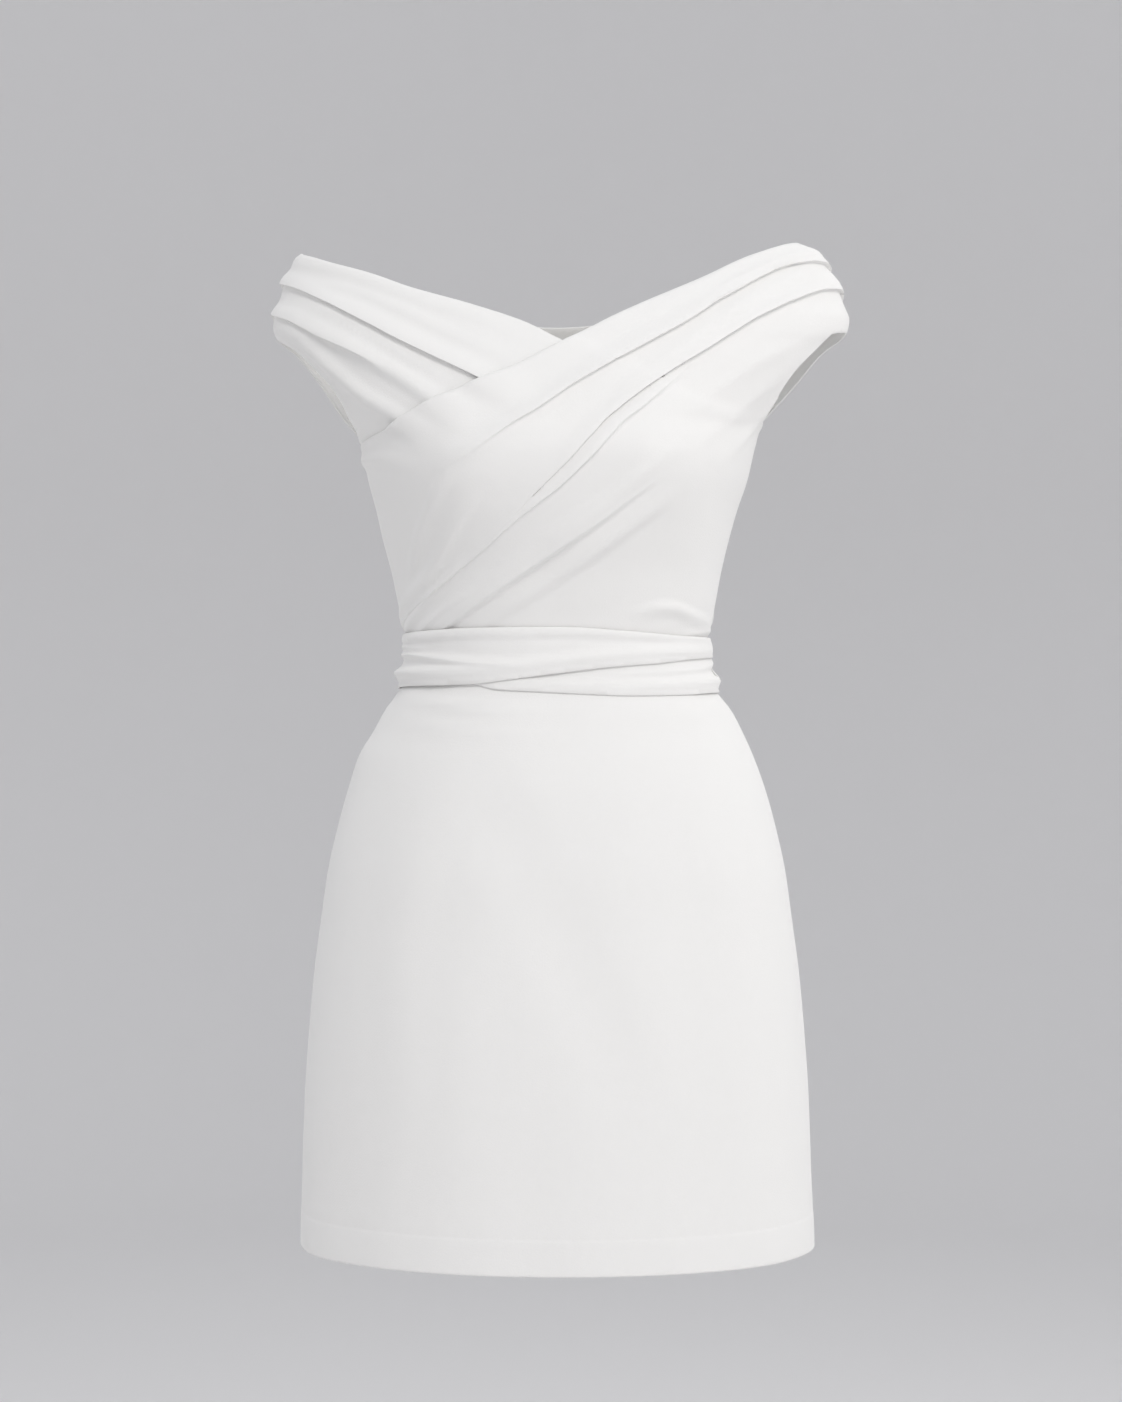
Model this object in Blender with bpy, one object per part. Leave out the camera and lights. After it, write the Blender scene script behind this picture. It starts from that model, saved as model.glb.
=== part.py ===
"""Off-shoulder wrap-front mini dress, as the eight cloth pieces a maker cuts and sews.

The tables are in millimetres and the finished solids in metres. X runs across the
dress, -Y is the front and +Z is up. Heights are given as a drop: millimetres down
from the shoulder line, which is z = 0. The dress is hollow and open at the neck,
at both armholes and at the hem.

Every piece is cut flat on a pattern plane, whose points are (around, drop): around
is the length along the level ring from centre front or centre back. The cut piece
is then laid on the worn shape and lifted off it by its folds and by the cloth below.
"""

import bpy
import numpy as np
from mathutils import Vector
from mathutils.geometry import delaunay_2d_cdt

# Cloth sizes
WALL = 1.6
LAYER_GAP = 0.6
WRAP_GAP = 1.0
SEAM_GAP = 0.16
WAIST_SEAM = 279.0
SKIRT_TOP = 279.4
CREPE_WHITE = (0.86, 0.86, 0.85)
CREPE_ROUGHNESS = 0.85

# Net sizes for the cut pieces
FRONT_STEP = 11.0
EDGE_STEP = 8.5
BACK_STEP = 16.0
BACK_EDGE_STEP = 10.5
UNDERARM_ROWS = (105.0, 112.0, 119.0, 126.0, 134.0)
UNDERARM_FROM_CENTRE = 105.0
WAIST_ROWS = (257.0, 265.0, 272.0)
SASH_STEP = 9.5
SKIRT_STEP_AROUND = 18.0
SKIRT_STEP_DOWN = 44.0
SKIRT_ROW_STEP = 14.0
SKIRT_ROWS_UNDER_SASH = (286.0, 293.0, 300.0, 308.0, 318.0, 332.0)
NET_ROOM = 0.55
MERGE = 0.25
SHARP_EDGE = 28.0

# The worn shape, a ring per row
# Columns: drop, half width left, half width right, depth to the front, depth to the back
WORN_RINGS = (
    (-60, 150, 130, 30, 34),
    (-45, 172, 156, 37, 42),
    (-34, 185, 178, 43, 49),
    (-27, 190, 191, 47, 55),
    (-20, 196, 197, 51, 60),
    (-13, 200, 202, 55, 66),
    (-4, 204, 208, 60, 73),
    (4, 206, 210, 66, 80),
    (15, 209, 214, 74, 89),
    (23, 211, 217, 80, 94),
    (30, 211, 216, 84, 97),
    (37, 209, 213, 88, 100),
    (44, 205, 206, 92, 102),
    (58, 196, 195, 99, 105),
    (72, 184, 182, 105, 106),
    (87, 173, 168, 111, 106),
    (98, 164, 158, 115, 106),
    (107, 155, 149, 118, 105),
    (118, 145, 145, 122, 104),
    (130, 141, 142, 124, 102),
    (142, 139, 139, 123, 99),
    (165, 133, 131, 118, 94),
    (187, 128, 125, 110, 89),
    (214, 121, 119, 98, 83),
    (235, 117, 115, 91, 80),
    (248, 114, 112, 87, 78),
    (258, 110, 109, 85, 77),
    (266, 108, 108, 84, 77),
    (274, 108, 108, 84, 78),
    (281, 110, 110, 85, 79),
    (292, 113, 113, 88, 83),
    (303, 119, 118, 91, 87),
    (315, 128, 128, 95, 92),
    (330, 136, 136, 99, 98),
    (350, 148, 145, 105, 106),
    (375, 156, 154, 111, 114),
    (400, 163, 161, 115, 121),
    (436, 171, 169, 120, 127),
    (472, 176, 174, 123, 131),
    (510, 181, 179, 127, 132),
    (555, 185, 183, 131, 133),
    (600, 188, 186, 134, 134),
    (660, 190, 188, 137, 134),
    (716, 191, 190, 140, 135),
    (740, 191, 190, 141, 135),
)
RING_SQUARENESS = 2.3
BUST_SIDE = 82.0
BUST_DROP = 135.0
BUST_REACH = 40.0
BUST_RISE = 9.0

# Edges of the pieces, as (x, drop) points on the worn cloth
UNDER_NECK = ((-230, -27), (-167, -15), (-141, -7), (-109, 6), (-64, 20), (-29, 32), (0, 47))
UNDER_NECK_HIDDEN = ((0, 47), (50, 74), (100, 98), (230, 118))
UNDER_ARMHOLE = ((-230, 35), (-197, 48), (-183, 61), (-170, 77), (-160, 93), (-150, 107), (-230, 118))
OVER_NECK_HIGH = ((230, -34), (171, -31), (143, -20), (100, 1), (43, 28), (1, 51))
OVER_NECK_LOW = ((1, 51), (-35, 70), (-59, 80), (-95, 95), (-113, 104), (-125, 111), (-230, 120))
OVER_ARMHOLE = ((230, 32), (205, 36), (194, 46), (184, 56), (173, 69), (163, 82), (154, 96), (230, 107))
BACK_NECK = ((-230, -27), (-150, -6), (-75, 12), (0, 19), (75, 10), (140, -10), (230, -34))
BACK_ARMHOLE_LEFT = ((-230, 35), (-203, 44), (-190, 58), (-177, 76), (-163, 96), (-148, 111), (-230, 118))
BACK_ARMHOLE_RIGHT = ((230, 32), (208, 40), (195, 52), (182, 68), (166, 86), (153, 101), (230, 107))
HEM_FRONT = ((-230, 712), (-135, 714), (0, 716), (145, 715), (230, 713))
HEM_BACK = ((-230, 712), (0, 714), (230, 713))
SASH_UPPER_TOP = ((-150, 258), (-110, 256), (-54, 254), (0, 254), (54, 257), (88, 260), (150, 261))
SASH_UPPER_BOTTOM = ((-150, 300), (-63, 297), (-29, 293), (37, 285), (71, 282), (97, 279), (150, 277))
SASH_LOWER_TOP = ((-150, 264), (-60, 264), (0, 267), (60, 270), (150, 272))
SASH_LOWER_BOTTOM = ((-150, 292), (-63, 296), (-46, 300), (-12, 302), (62, 305), (150, 303))
SASH_BACK_TOP = ((-150, 258), (0, 252), (150, 261))
SASH_BACK_BOTTOM = ((-150, 300), (0, 300), (150, 303))

# Folds, a row per fold
# Columns: name, reach above the crest, reach below it, crest as (x, drop, height) points.
# A fold with a reach under CRISP_REACH on one side is a pleat with a sharp edge there.
CRISP_REACH = 4.5
UNDER_FOLDS = (
    ("pleat_e", 16, 3, ((-230, -4, 3.0), (-197, 3, 3.0), (-162, 23, 3.2), (-119, 46, 3.8), (-66, 73, 4.0),
                        (-25, 96, 0.0))),
    ("pleat_f", 15, 3, ((-230, 19, 3.0), (-203, 26, 3.2), (-176, 41, 3.4), (-154, 52, 2.4), (-130, 65, 0.0))),
    ("roll_f", 14, 10, ((-190, 34, 0.0), (-165, 46, 1.4), (-148, 55, 2.6), (-132, 64, 3.2), (-114, 75, 3.0),
                        (-90, 92, 2.0), (-60, 110, 0.0))),
    ("roll_by_armhole", 11, 10, ((-230, 30, 0.6), (-201, 36, 1.8), (-185, 48, 2.8), (-165, 66, 3.4),
                                 (-142, 86, 3.4), (-116, 103, 2.6), (-95, 118, 0.0))),
    ("roll_by_neck", 10, 9, ((-230, -22, 1.2), (-161, -9, 1.2), (-109, 12, 1.3), (-64, 27, 1.0), (0, 56, 0.0))),
)
OVER_FOLDS = (
    ("pleat_a", 17, 3, ((230, -14, 2.8), (202, -16, 2.8), (181, -14, 2.8), (164, -9, 2.8), (130, 11, 3.0),
                        (96, 33, 3.2), (81, 42, 3.4), (45, 63, 3.4), (11, 84, 3.0), (-18, 104, 2.4),
                        (-41, 118, 1.6), (-80, 140, 0.0))),
    ("soft_tail_a", 14, 10, ((30, 74, 0.0), (-18, 105, 1.6), (-41, 119, 2.0), (-66, 132, 1.4), (-92, 144, 0.0))),
    ("soft_fold_above_b", 9, 6, ((200, -3, 0.4), (168, 0, 1.4), (141, 18, 1.8), (98, 48, 1.6), (50, 82, 0.0))),
    ("pleat_b", 14, 3, ((230, 4, 2.8), (211, 3, 2.8), (187, 10, 3.2), (163, 21, 3.4), (139, 34, 3.2),
                        (112, 52, 3.0), (84, 70, 2.8), (62, 86, 2.6), (42, 102, 2.4), (24, 120, 2.2),
                        (6, 138, 1.8), (-12, 155, 1.4), (-50, 192, 0.0))),
    ("pleat_c", 10, 6, ((99, 66, 0.0), (84, 80, 2.0), (62, 99, 3.0), (42, 117, 3.4), (22, 137, 3.2),
                        (1, 156, 2.8), (-30, 180, 2.0), (-66, 208, 1.8), (-92, 229, 1.7), (-150, 258, 1.4))),
    ("pleat_d", 18, 3, ((70, 148, 0.0), (50, 163, 1.8), (26, 180, 2.8), (1, 196, 3.4), (-26, 214, 3.2),
                        (-58, 236, 2.6), (-90, 258, 1.6), (-115, 274, 0.0))),
    ("soft_fold_below_d", 15, 9, ((84, 158, 0.0), (59, 176, 2.0), (30, 197, 2.4), (-27, 235, 1.6), (-70, 260, 0.0))),
    ("gather_left_waist", 12, 9, ((-63, 164, 0.0), (-85, 195, 1.6), (-105, 223, 1.8), (-140, 250, 1.2))),
    ("arc_right_waist", 5, 10, ((118, 250, 0.0), (100, 243, 1.2), (78, 237, 1.4), (60, 241, 0.0))),
    ("bulge_left_underarm", 10, 10, ((-230, 129, 2.6), (-125, 133, 1.4), (-100, 139, 0.0))),
    ("roll_right_armhole", 9, 9, ((195, 52, 0.0), (172, 76, 1.6), (150, 103, 1.6), (135, 125, 0.0))),
)
BACK_FOLDS = (
    ("pleat_e_back", 16, 3, ((-230, -4, 3.0), (-180, 10, 2.6), (-120, 36, 1.6), (-60, 56, 0.0))),
    ("pleat_f_back", 15, 3, ((-230, 19, 3.0), (-178, 42, 2.6), (-118, 76, 1.4), (-60, 104, 0.0))),
    ("pleat_a_back", 16, 3, ((230, -14, 2.8), (180, 2, 2.4), (118, 28, 1.6), (50, 50, 0.0))),
    ("pleat_b_back", 14, 3, ((230, 5, 2.8), (178, 34, 2.6), (116, 70, 1.4), (56, 100, 0.0))),
    ("bulge_left_back", 10, 10, ((-230, 129, 2.6), (-125, 134, 1.2), (-104, 140, 0.0))),
    ("soft_fold_back_left", 16, 14, ((-150, 250, 1.0), (-96, 222, 1.6), (-44, 198, 0.0))),
    ("soft_fold_back_right", 16, 14, ((150, 250, 1.0), (92, 226, 1.5), (40, 204, 0.0))),
)
SASH_UPPER_FOLDS = (
    ("upper_rim_roll", 4.6, 6, ((-150, 261, 1.0), (-60, 258, 1.2), (0, 258, 1.2), (60, 260, 1.0), (150, 264, 0.6))),
    ("lower_left_swell", 9, 7, ((-150, 291, 3.4), (-108, 291, 3.0), (-80, 290, 1.2), (-50, 289, 0.0))),
    ("upper_crease_left", 8, 3, ((-150, 276, 2.4), (-94, 279, 2.6), (-64, 283, 1.4), (-25, 284, 0.0))),
    ("upper_belly", 9, 9, ((-150, 288, 1.0), (-50, 286, 1.8), (30, 275, 1.8), (150, 268, 1.2))),
)
SASH_LOWER_FOLDS = (
    ("lower_inner_edge", 6, 3, ((150, 281, 1.4), (97, 287, 1.4), (60, 289, 0.8), (20, 290, 0.0))),
    ("lower_right_swell", 10, 6, ((150, 295, 2.8), (106, 296, 2.4), (80, 297, 1.0), (50, 298, 0.0))),
    ("lower_belly", 6, 7, ((150, 297, 0.6), (80, 299, 1.8), (10, 297, 1.2), (-50, 292, 0.0))),
)
SASH_BACK_FOLDS = (
    ("back_fold_high", 8, 3, ((-150, 274, 1.8), (-60, 268, 1.4), (10, 266, 1.6), (150, 277, 1.8))),
    ("back_fold_low", 10, 8, ((-150, 291, 3.6), (-96, 288, 2.0), (-20, 287, 1.8), (70, 286, 1.6), (150, 295, 3.2))),
)
SKIRT_FOLDS = (
    ("pull_below_sash", 8, 12, ((-118, 303, 0.0), (-88, 308, 1.2), (-50, 312, 0.9), (-20, 314, 0.0))),
)

# Where a worn seam is thicker than one cloth, the back rises to meet the front
SEAM_STACK = WALL + LAYER_GAP
SEAM_STACK_FROM = 100.0
SEAM_STACK_TO = 300.0
SEAM_STACK_REACH = 34.0
SEAM_STACK_FADE = 20.0

LEVELS = np.arange(-60.0, 741.0, 2.5)
SHARES = np.linspace(0.0, 1.0, 161)
FIELD_STEP = 2.5
FIELD_AROUND = np.arange(-280.0, 280.1, FIELD_STEP)
FIELD_DROP = np.arange(-60.0, 340.1, FIELD_STEP)


def smooth_curve(xs, ys, at):
    """Values of a smooth curve through the points, with no overshoot between them."""
    xs = np.asarray(xs, float)
    ys = np.asarray(ys, float)
    gaps = np.diff(xs)
    slopes = np.diff(ys) / gaps
    tangents = np.zeros(len(xs))
    same_way = slopes[:-1] * slopes[1:] > 0
    total = np.where(same_way, slopes[:-1] + slopes[1:], 1.0)
    tangents[1:-1] = np.where(same_way, 2 * slopes[:-1] * slopes[1:] / total, 0.0)
    tangents[0] = slopes[0]
    tangents[-1] = slopes[-1]
    at = np.clip(at, xs[0], xs[-1])
    left = np.clip(np.searchsorted(xs, at, "right") - 1, 0, len(xs) - 2)
    t = (at - xs[left]) / gaps[left]
    from_values = ys[left] * (1 + 2 * t) * (1 - t) ** 2 + ys[left + 1] * t * t * (3 - 2 * t)
    from_slopes = gaps[left] * (tangents[left] * t * (1 - t) ** 2 + tangents[left + 1] * t * t * (t - 1))
    return from_values + from_slopes


def worn_face(facing):
    """Points, outward normals and ring lengths of the front (-1) or back (+1) half."""
    table = np.array(WORN_RINGS, float)
    left, right, front, back = (smooth_curve(table[:, 0], table[:, i], LEVELS) for i in range(1, 5))
    depth = front if facing < 0 else back
    angle = np.linspace(0.0, np.pi, 361)
    points = np.zeros((len(LEVELS), len(SHARES), 3))
    lengths = np.zeros(len(LEVELS))
    for row, level in enumerate(LEVELS):
        half = np.where(angle < np.pi / 2, left[row], right[row])
        across = (np.abs(np.cos(angle)) / half) ** RING_SQUARENESS
        along = (np.sin(angle) / depth[row]) ** RING_SQUARENESS
        radius = (across + along) ** (-1 / RING_SQUARENESS)
        x = -radius * np.cos(angle)
        y = facing * radius * np.sin(angle)
        if facing < 0:
            away = ((np.abs(x) - BUST_SIDE) / BUST_REACH) ** 2 + ((level - BUST_DROP) / BUST_REACH) ** 2
            y = y - BUST_RISE * np.exp(-away)
        length = np.concatenate(([0.0], np.cumsum(np.hypot(np.diff(x), np.diff(y)))))
        lengths[row] = length[-1]
        points[row, :, 0] = np.interp(SHARES, length / length[-1], x)
        points[row, :, 1] = np.interp(SHARES, length / length[-1], y)
        points[row, :, 2] = -level
    along_ring = np.gradient(points, axis=1)
    down_dress = np.gradient(points, axis=0)
    normals = np.cross(along_ring, down_dress) * facing
    normals /= np.linalg.norm(normals, axis=2, keepdims=True)
    return {"points": points, "normals": normals, "lengths": lengths}


def grid_value(grid, row, column):
    """Value of a regular grid between its rows and columns."""
    row = np.clip(row, 0, grid.shape[0] - 1.001)
    column = np.clip(column, 0, grid.shape[1] - 1.001)
    i = row.astype(int)
    j = column.astype(int)
    s = row - i
    t = column - j
    if grid.ndim == 3:
        s = s[:, None]
        t = t[:, None]
    upper = grid[i, j] * (1 - t) + grid[i, j + 1] * t
    lower = grid[i + 1, j] * (1 - t) + grid[i + 1, j + 1] * t
    return upper * (1 - s) + lower * s


def half_length(face, drop):
    """Length of the front or back half ring at a drop."""
    return np.interp(drop, LEVELS, face["lengths"])


def lay_on_form(face, around, drop, lift):
    """Points of the worn cloth in millimetres, lift off the worn shape."""
    row = (drop - LEVELS[0]) / (LEVELS[1] - LEVELS[0])
    column = (0.5 + around / half_length(face, drop)) * (len(SHARES) - 1)
    normals = grid_value(face["normals"], row, column)
    normals /= np.linalg.norm(normals, axis=1, keepdims=True)
    return grid_value(face["points"], row, column) + normals * lift[:, None]


def around_at(face, x, drop):
    """Pattern position of a point seen at x on the outside of the worn cloth."""
    row = int(round((drop - LEVELS[0]) / (LEVELS[1] - LEVELS[0])))
    seen = face["points"][row, :, 0] + face["normals"][row, :, 0] * 2 * WALL
    share = np.interp(x, seen, SHARES)
    return (share - 0.5) * float(half_length(face, drop))


def trace(face, points, step):
    """A smooth pattern line through worn (x, drop, ...) points, about step mm between points."""
    table = np.array([(around_at(face, p[0], p[1]),) + tuple(p[1:]) for p in points], float)
    chord = np.concatenate(([0.0], np.cumsum(np.hypot(*np.diff(table[:, :2], axis=0).T))))
    count = max(2, int(round(chord[-1] / step)) + 1)
    at = np.linspace(0.0, chord[-1], count)
    return np.column_stack([smooth_curve(chord, column, at) for column in table.T])


def side_line(face, side, drop_from, drop_to, step):
    """The seam line at one side of the pattern, between two drops."""
    count = max(2, int(round(abs(drop_to - drop_from) / step)) + 1)
    drop = np.linspace(drop_from, drop_to, count)
    return np.column_stack([side * half_length(face, drop) / 2, drop])


def close_outline(face, lines):
    """One closed pattern outline from lines laid end to end, drawn in by the seam gap."""
    outline = np.vstack([line[:-1, :2] for line in lines])
    limit = half_length(face, outline[:, 1]) / 2 - SEAM_GAP
    outline[:, 0] = np.clip(outline[:, 0], -limit, limit)
    return outline


def is_inside(points, outline):
    """True for the points inside a closed outline."""
    x, y = points[:, 0:1], points[:, 1:2]
    x0, y0 = outline[:, 0], outline[:, 1]
    x1, y1 = np.roll(x0, -1), np.roll(y0, -1)
    rise = np.where(y1 == y0, 1.0, y1 - y0)
    crosses = ((y0 > y) != (y1 > y)) & (x < (x1 - x0) * (y - y0) / rise + x0)
    return crosses.sum(axis=1) % 2 == 1


def fold_heights(face, folds, around, drop):
    """Height of all the folds together at the pattern points."""
    height = np.zeros(len(around))
    for _, above, below, crest in folds:
        line = trace(face, crest, 6.0)
        start, end = line[:-1], line[1:]
        step = end[:, :2] - start[:, :2]
        nearest = np.full(len(around), 1e9)
        here = np.zeros(len(around))
        side = np.zeros(len(around))
        for a, b, s in zip(start, end, step):
            t = np.clip(((around - a[0]) * s[0] + (drop - a[1]) * s[1]) / (s @ s), 0, 1)
            across = around - a[0] - t * s[0]
            down = drop - a[1] - t * s[1]
            distance = np.hypot(across, down)
            closer = distance < nearest
            nearest = np.where(closer, distance, nearest)
            here = np.where(closer, a[2] + (b[2] - a[2]) * t, here)
            is_below = (down * s[0] - across * s[1]) * np.sign(s[0]) > 0
            side = np.where(closer, is_below, side)
        reach = np.where(side > 0.5, below, above)
        height += here * 0.5 * (1 + np.cos(np.pi * np.minimum(nearest / reach, 1.0)))
    return height


def crisp_lines(face, folds, step):
    """Pattern lines along the sharp pleats: the lip of each and the foot below it."""
    lines = []
    for _, above, below, crest in folds:
        if below > CRISP_REACH:
            continue
        lip = trace(face, crest, step)[:, :2]
        lip = np.vstack([2 * lip[0] - lip[1], lip[1:-1], 2 * lip[-1] - lip[-2]])
        way = np.gradient(lip, axis=0)
        way /= np.linalg.norm(way, axis=1, keepdims=True)
        away = np.column_stack([-way[:, 1], way[:, 0]]) * np.sign(way[:, :1] + 1e-9)
        lines += [lip, lip + away * below]
    return lines


def cut_piece(outline, lines, step_around, step_down):
    """Pattern points and triangles of a piece: its outline, its pleat lines and an even net."""
    low = outline.min(axis=0)
    high = outline.max(axis=0)
    rows = np.arange(np.floor(low[1] / step_down), np.ceil(high[1] / step_down) + 1)
    columns = np.arange(np.floor(low[0] / step_around) - 1, np.ceil(high[0] / step_around) + 1)
    net = np.array([((c + 0.5 * (r % 2)) * step_around, r * step_down) for r in rows for c in columns])
    scale = np.array([step_around, step_down])
    ring = np.vstack([outline, outline[:1]])
    fixed = np.vstack([line[:-1] + (line[1:] - line[:-1]) * t for line in [ring] + lines for t in (0, 0.3, 0.7)])
    room = np.min(np.linalg.norm((net[:, None] - fixed[None]) / scale, axis=2), axis=1)
    net = net[is_inside(net, outline) & (room > NET_ROOM)]
    points = [outline]
    edges = [(i, (i + 1) % len(outline)) for i in range(len(outline))]
    total = len(outline)
    for line in lines:
        near = is_inside(line, outline)
        wide = near | np.roll(near, 1) | np.roll(near, -1)
        run = line[wide]
        points.append(run)
        edges += [(total + i, total + i + 1) for i in range(len(run) - 1)]
        total += len(run)
    points.append(net)
    flat = [Vector(p) for p in np.vstack(points)]
    made, _, faces, _, _, _ = delaunay_2d_cdt(flat, edges, [], 0, MERGE)
    made = np.array([tuple(v) for v in made])
    faces = np.array(faces)
    faces = faces[is_inside(made[faces].mean(axis=1), outline)]
    used = np.unique(faces)
    order = np.zeros(len(made), int)
    order[used] = np.arange(len(used))
    faces = order[faces]
    made = made[used]
    a, b, c = made[faces[:, 0]], made[faces[:, 1]], made[faces[:, 2]]
    turned = (b[:, 0] - a[:, 0]) * (c[:, 1] - a[:, 1]) - (b[:, 1] - a[:, 1]) * (c[:, 0] - a[:, 0]) < 0
    faces[turned] = faces[turned][:, ::-1]
    return made, faces


def crepe_material(name):
    """White crepe: a matt, slightly warm white cloth."""
    material = bpy.data.materials.new(name)
    material.use_nodes = True
    shader = material.node_tree.nodes["Principled BSDF"]
    shader.inputs["Base Color"].default_value = CREPE_WHITE + (1.0,)
    shader.inputs["Roughness"].default_value = CREPE_ROUGHNESS
    shader.inputs["Metallic"].default_value = 0.0
    return material


def sew_piece(name, face, facing, pattern, faces, lift):
    """One cloth solid of even wall from a cut pattern and the lift of its points."""
    inside = lay_on_form(face, pattern[:, 0], pattern[:, 1], lift)
    outside = lay_on_form(face, pattern[:, 0], pattern[:, 1], lift + WALL)
    count = len(pattern)
    if facing < 0:
        faces = faces[:, ::-1]
    outer = faces
    walls = [tuple(f) for f in outer] + [tuple(f + count) for f in outer[:, ::-1]]
    edges = {(a, b) for f in outer for a, b in zip(f, np.roll(f, -1))}
    for a, b in sorted(edges):
        if (b, a) not in edges:
            walls.append((b, a, a + count))
            walls.append((b, a + count, b + count))
    mesh = bpy.data.meshes.new(name)
    mesh.from_pydata((np.vstack([outside, inside]) / 1000.0).tolist(), [], walls)
    mesh.validate()
    mesh.shade_smooth()
    mesh.set_sharp_from_angle(angle=np.radians(SHARP_EDGE))
    mesh.materials.append(crepe_material(name + "_crepe"))
    piece = bpy.data.objects.new(name, mesh)
    bpy.context.scene.collection.objects.link(piece)
    print(name, len(walls), "triangles")
    return piece


def field_grid():
    """All points of the field on which cloths rest on one another."""
    around, drop = np.meshgrid(FIELD_AROUND, FIELD_DROP)
    return np.column_stack([around.ravel(), drop.ravel()])


def rest_height(layers, spread):
    """A field of the height at which the next cloth rests on the given (height, mask) layers."""
    shape = (len(FIELD_DROP), len(FIELD_AROUND))
    top = np.zeros(shape)
    for height, mask in layers:
        top = np.maximum(top, np.where(mask, height, 0.0).reshape(shape))
    for _ in range(spread):
        wide = top.copy()
        wide[1:] = np.maximum(wide[1:], top[:-1])
        wide[:-1] = np.maximum(wide[:-1], top[1:])
        wide[:, 1:] = np.maximum(wide[:, 1:], top[:, :-1])
        wide[:, :-1] = np.maximum(wide[:, :-1], top[:, 1:])
        top = wide
    for _ in range(spread):
        padded = np.pad(top, 1, mode="edge")
        beside = padded[:-2, 1:-1] + padded[2:, 1:-1] + padded[1:-1, :-2] + padded[1:-1, 2:]
        top = 0.2 * (padded[1:-1, 1:-1] + beside)
    return top


def field_at(field, around, drop):
    """The field's value at the pattern points."""
    row = (drop - FIELD_DROP[0]) / FIELD_STEP
    column = (around - FIELD_AROUND[0]) / FIELD_STEP
    return grid_value(field, row, column)


def seam_rise(face, around, drop):
    """How far the back rises near the side seams, to meet the doubled front."""
    inward = half_length(face, drop) / 2 - np.abs(around)
    near = 0.5 * (1 + np.cos(np.pi * np.clip(inward / SEAM_STACK_REACH, 0, 1)))
    below = np.clip((drop - SEAM_STACK_FROM) / SEAM_STACK_FADE, 0, 1)
    above = np.clip((SEAM_STACK_TO - drop) / SEAM_STACK_FADE, 0, 1)
    return SEAM_STACK * near * below * above


FRONT = worn_face(-1)
BACK = worn_face(1)


def band_outline(face, top, bottom, step):
    """The closed outline of a sash band between its top and bottom lines."""
    top_line = trace(face, top, step)
    bottom_line = trace(face, bottom, step)[::-1]
    left = side_line(face, -1, bottom[0][1], top[0][1], step)
    right = side_line(face, 1, top[-1][1], bottom[-1][1], step)
    return close_outline(face, [top_line, right, bottom_line, left])


def skirt_outline(face, hem):
    """The closed outline of a skirt panel down to its hem line."""
    top = level_line(face, SKIRT_TOP, SKIRT_ROW_STEP)
    knee = SKIRT_ROWS_UNDER_SASH[-1]
    right_high = side_line(face, 1, SKIRT_TOP, knee, SASH_STEP)
    right_low = side_line(face, 1, knee, hem[-1][1], SKIRT_STEP_AROUND)
    bottom = trace(face, hem, SKIRT_STEP_AROUND)[::-1]
    left_low = side_line(face, -1, hem[0][1], knee, SKIRT_STEP_AROUND)
    left_high = side_line(face, -1, knee, SKIRT_TOP, SASH_STEP)
    return close_outline(face, [top, right_high, right_low, bottom, left_low, left_high])


def under_outline(step):
    """Under wrap: left shoulder, crossing the centre, down to the right side and the waist."""
    return close_outline(FRONT, [
        trace(FRONT, UNDER_NECK, step),
        trace(FRONT, UNDER_NECK_HIDDEN, step),
        side_line(FRONT, 1, UNDER_NECK_HIDDEN[-1][1], WAIST_SEAM, step),
        level_line(FRONT, WAIST_SEAM, step)[::-1],
        side_line(FRONT, -1, WAIST_SEAM, UNDER_ARMHOLE[-1][1], step),
        trace(FRONT, UNDER_ARMHOLE, step)[::-1],
        side_line(FRONT, -1, UNDER_ARMHOLE[0][1], UNDER_NECK[0][1], step),
    ])


def over_outline(step):
    """Over wrap: right shoulder, crossing the centre, down to the left side and the waist."""
    return close_outline(FRONT, [
        trace(FRONT, OVER_NECK_HIGH, step),
        trace(FRONT, OVER_NECK_LOW, step),
        side_line(FRONT, -1, OVER_NECK_LOW[-1][1], WAIST_SEAM, step),
        level_line(FRONT, WAIST_SEAM, step),
        side_line(FRONT, 1, WAIST_SEAM, OVER_ARMHOLE[-1][1], step),
        trace(FRONT, OVER_ARMHOLE, step)[::-1],
        side_line(FRONT, 1, OVER_ARMHOLE[0][1], OVER_NECK_HIGH[0][1], step),
    ])


def back_outline(step):
    """Back bodice: shoulder to shoulder across the back neck, both armholes, sides and waist."""
    return close_outline(BACK, [
        trace(BACK, BACK_NECK, step),
        side_line(BACK, 1, BACK_NECK[-1][1], BACK_ARMHOLE_RIGHT[0][1], step),
        trace(BACK, BACK_ARMHOLE_RIGHT, step),
        side_line(BACK, 1, BACK_ARMHOLE_RIGHT[-1][1], WAIST_SEAM, step),
        level_line(BACK, WAIST_SEAM, step)[::-1],
        side_line(BACK, -1, WAIST_SEAM, BACK_ARMHOLE_LEFT[-1][1], step),
        trace(BACK, BACK_ARMHOLE_LEFT, step)[::-1],
        side_line(BACK, -1, BACK_ARMHOLE_LEFT[0][1], BACK_NECK[0][1], step),
    ])


def level_line(face, drop, step):
    """A level line from the left seam to the right seam."""
    length = float(half_length(face, drop))
    count = int(round(length / step)) + 1
    return np.column_stack([np.linspace(-0.5, 0.5, count) * length, np.full(count, drop)])


def rows_at_tight_curves(face):
    """Level lines that keep the front true to the tight curves under both arms and at the waist."""
    rows = [level_line(face, drop, FRONT_STEP)[1:-1] for drop in WAIST_ROWS]
    for drop in UNDERARM_ROWS:
        line = level_line(face, drop, EDGE_STEP)[1:-1]
        rows.append(line[line[:, 0] < -UNDERARM_FROM_CENTRE])
        rows.append(line[line[:, 0] > UNDERARM_FROM_CENTRE])
    return rows


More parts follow.
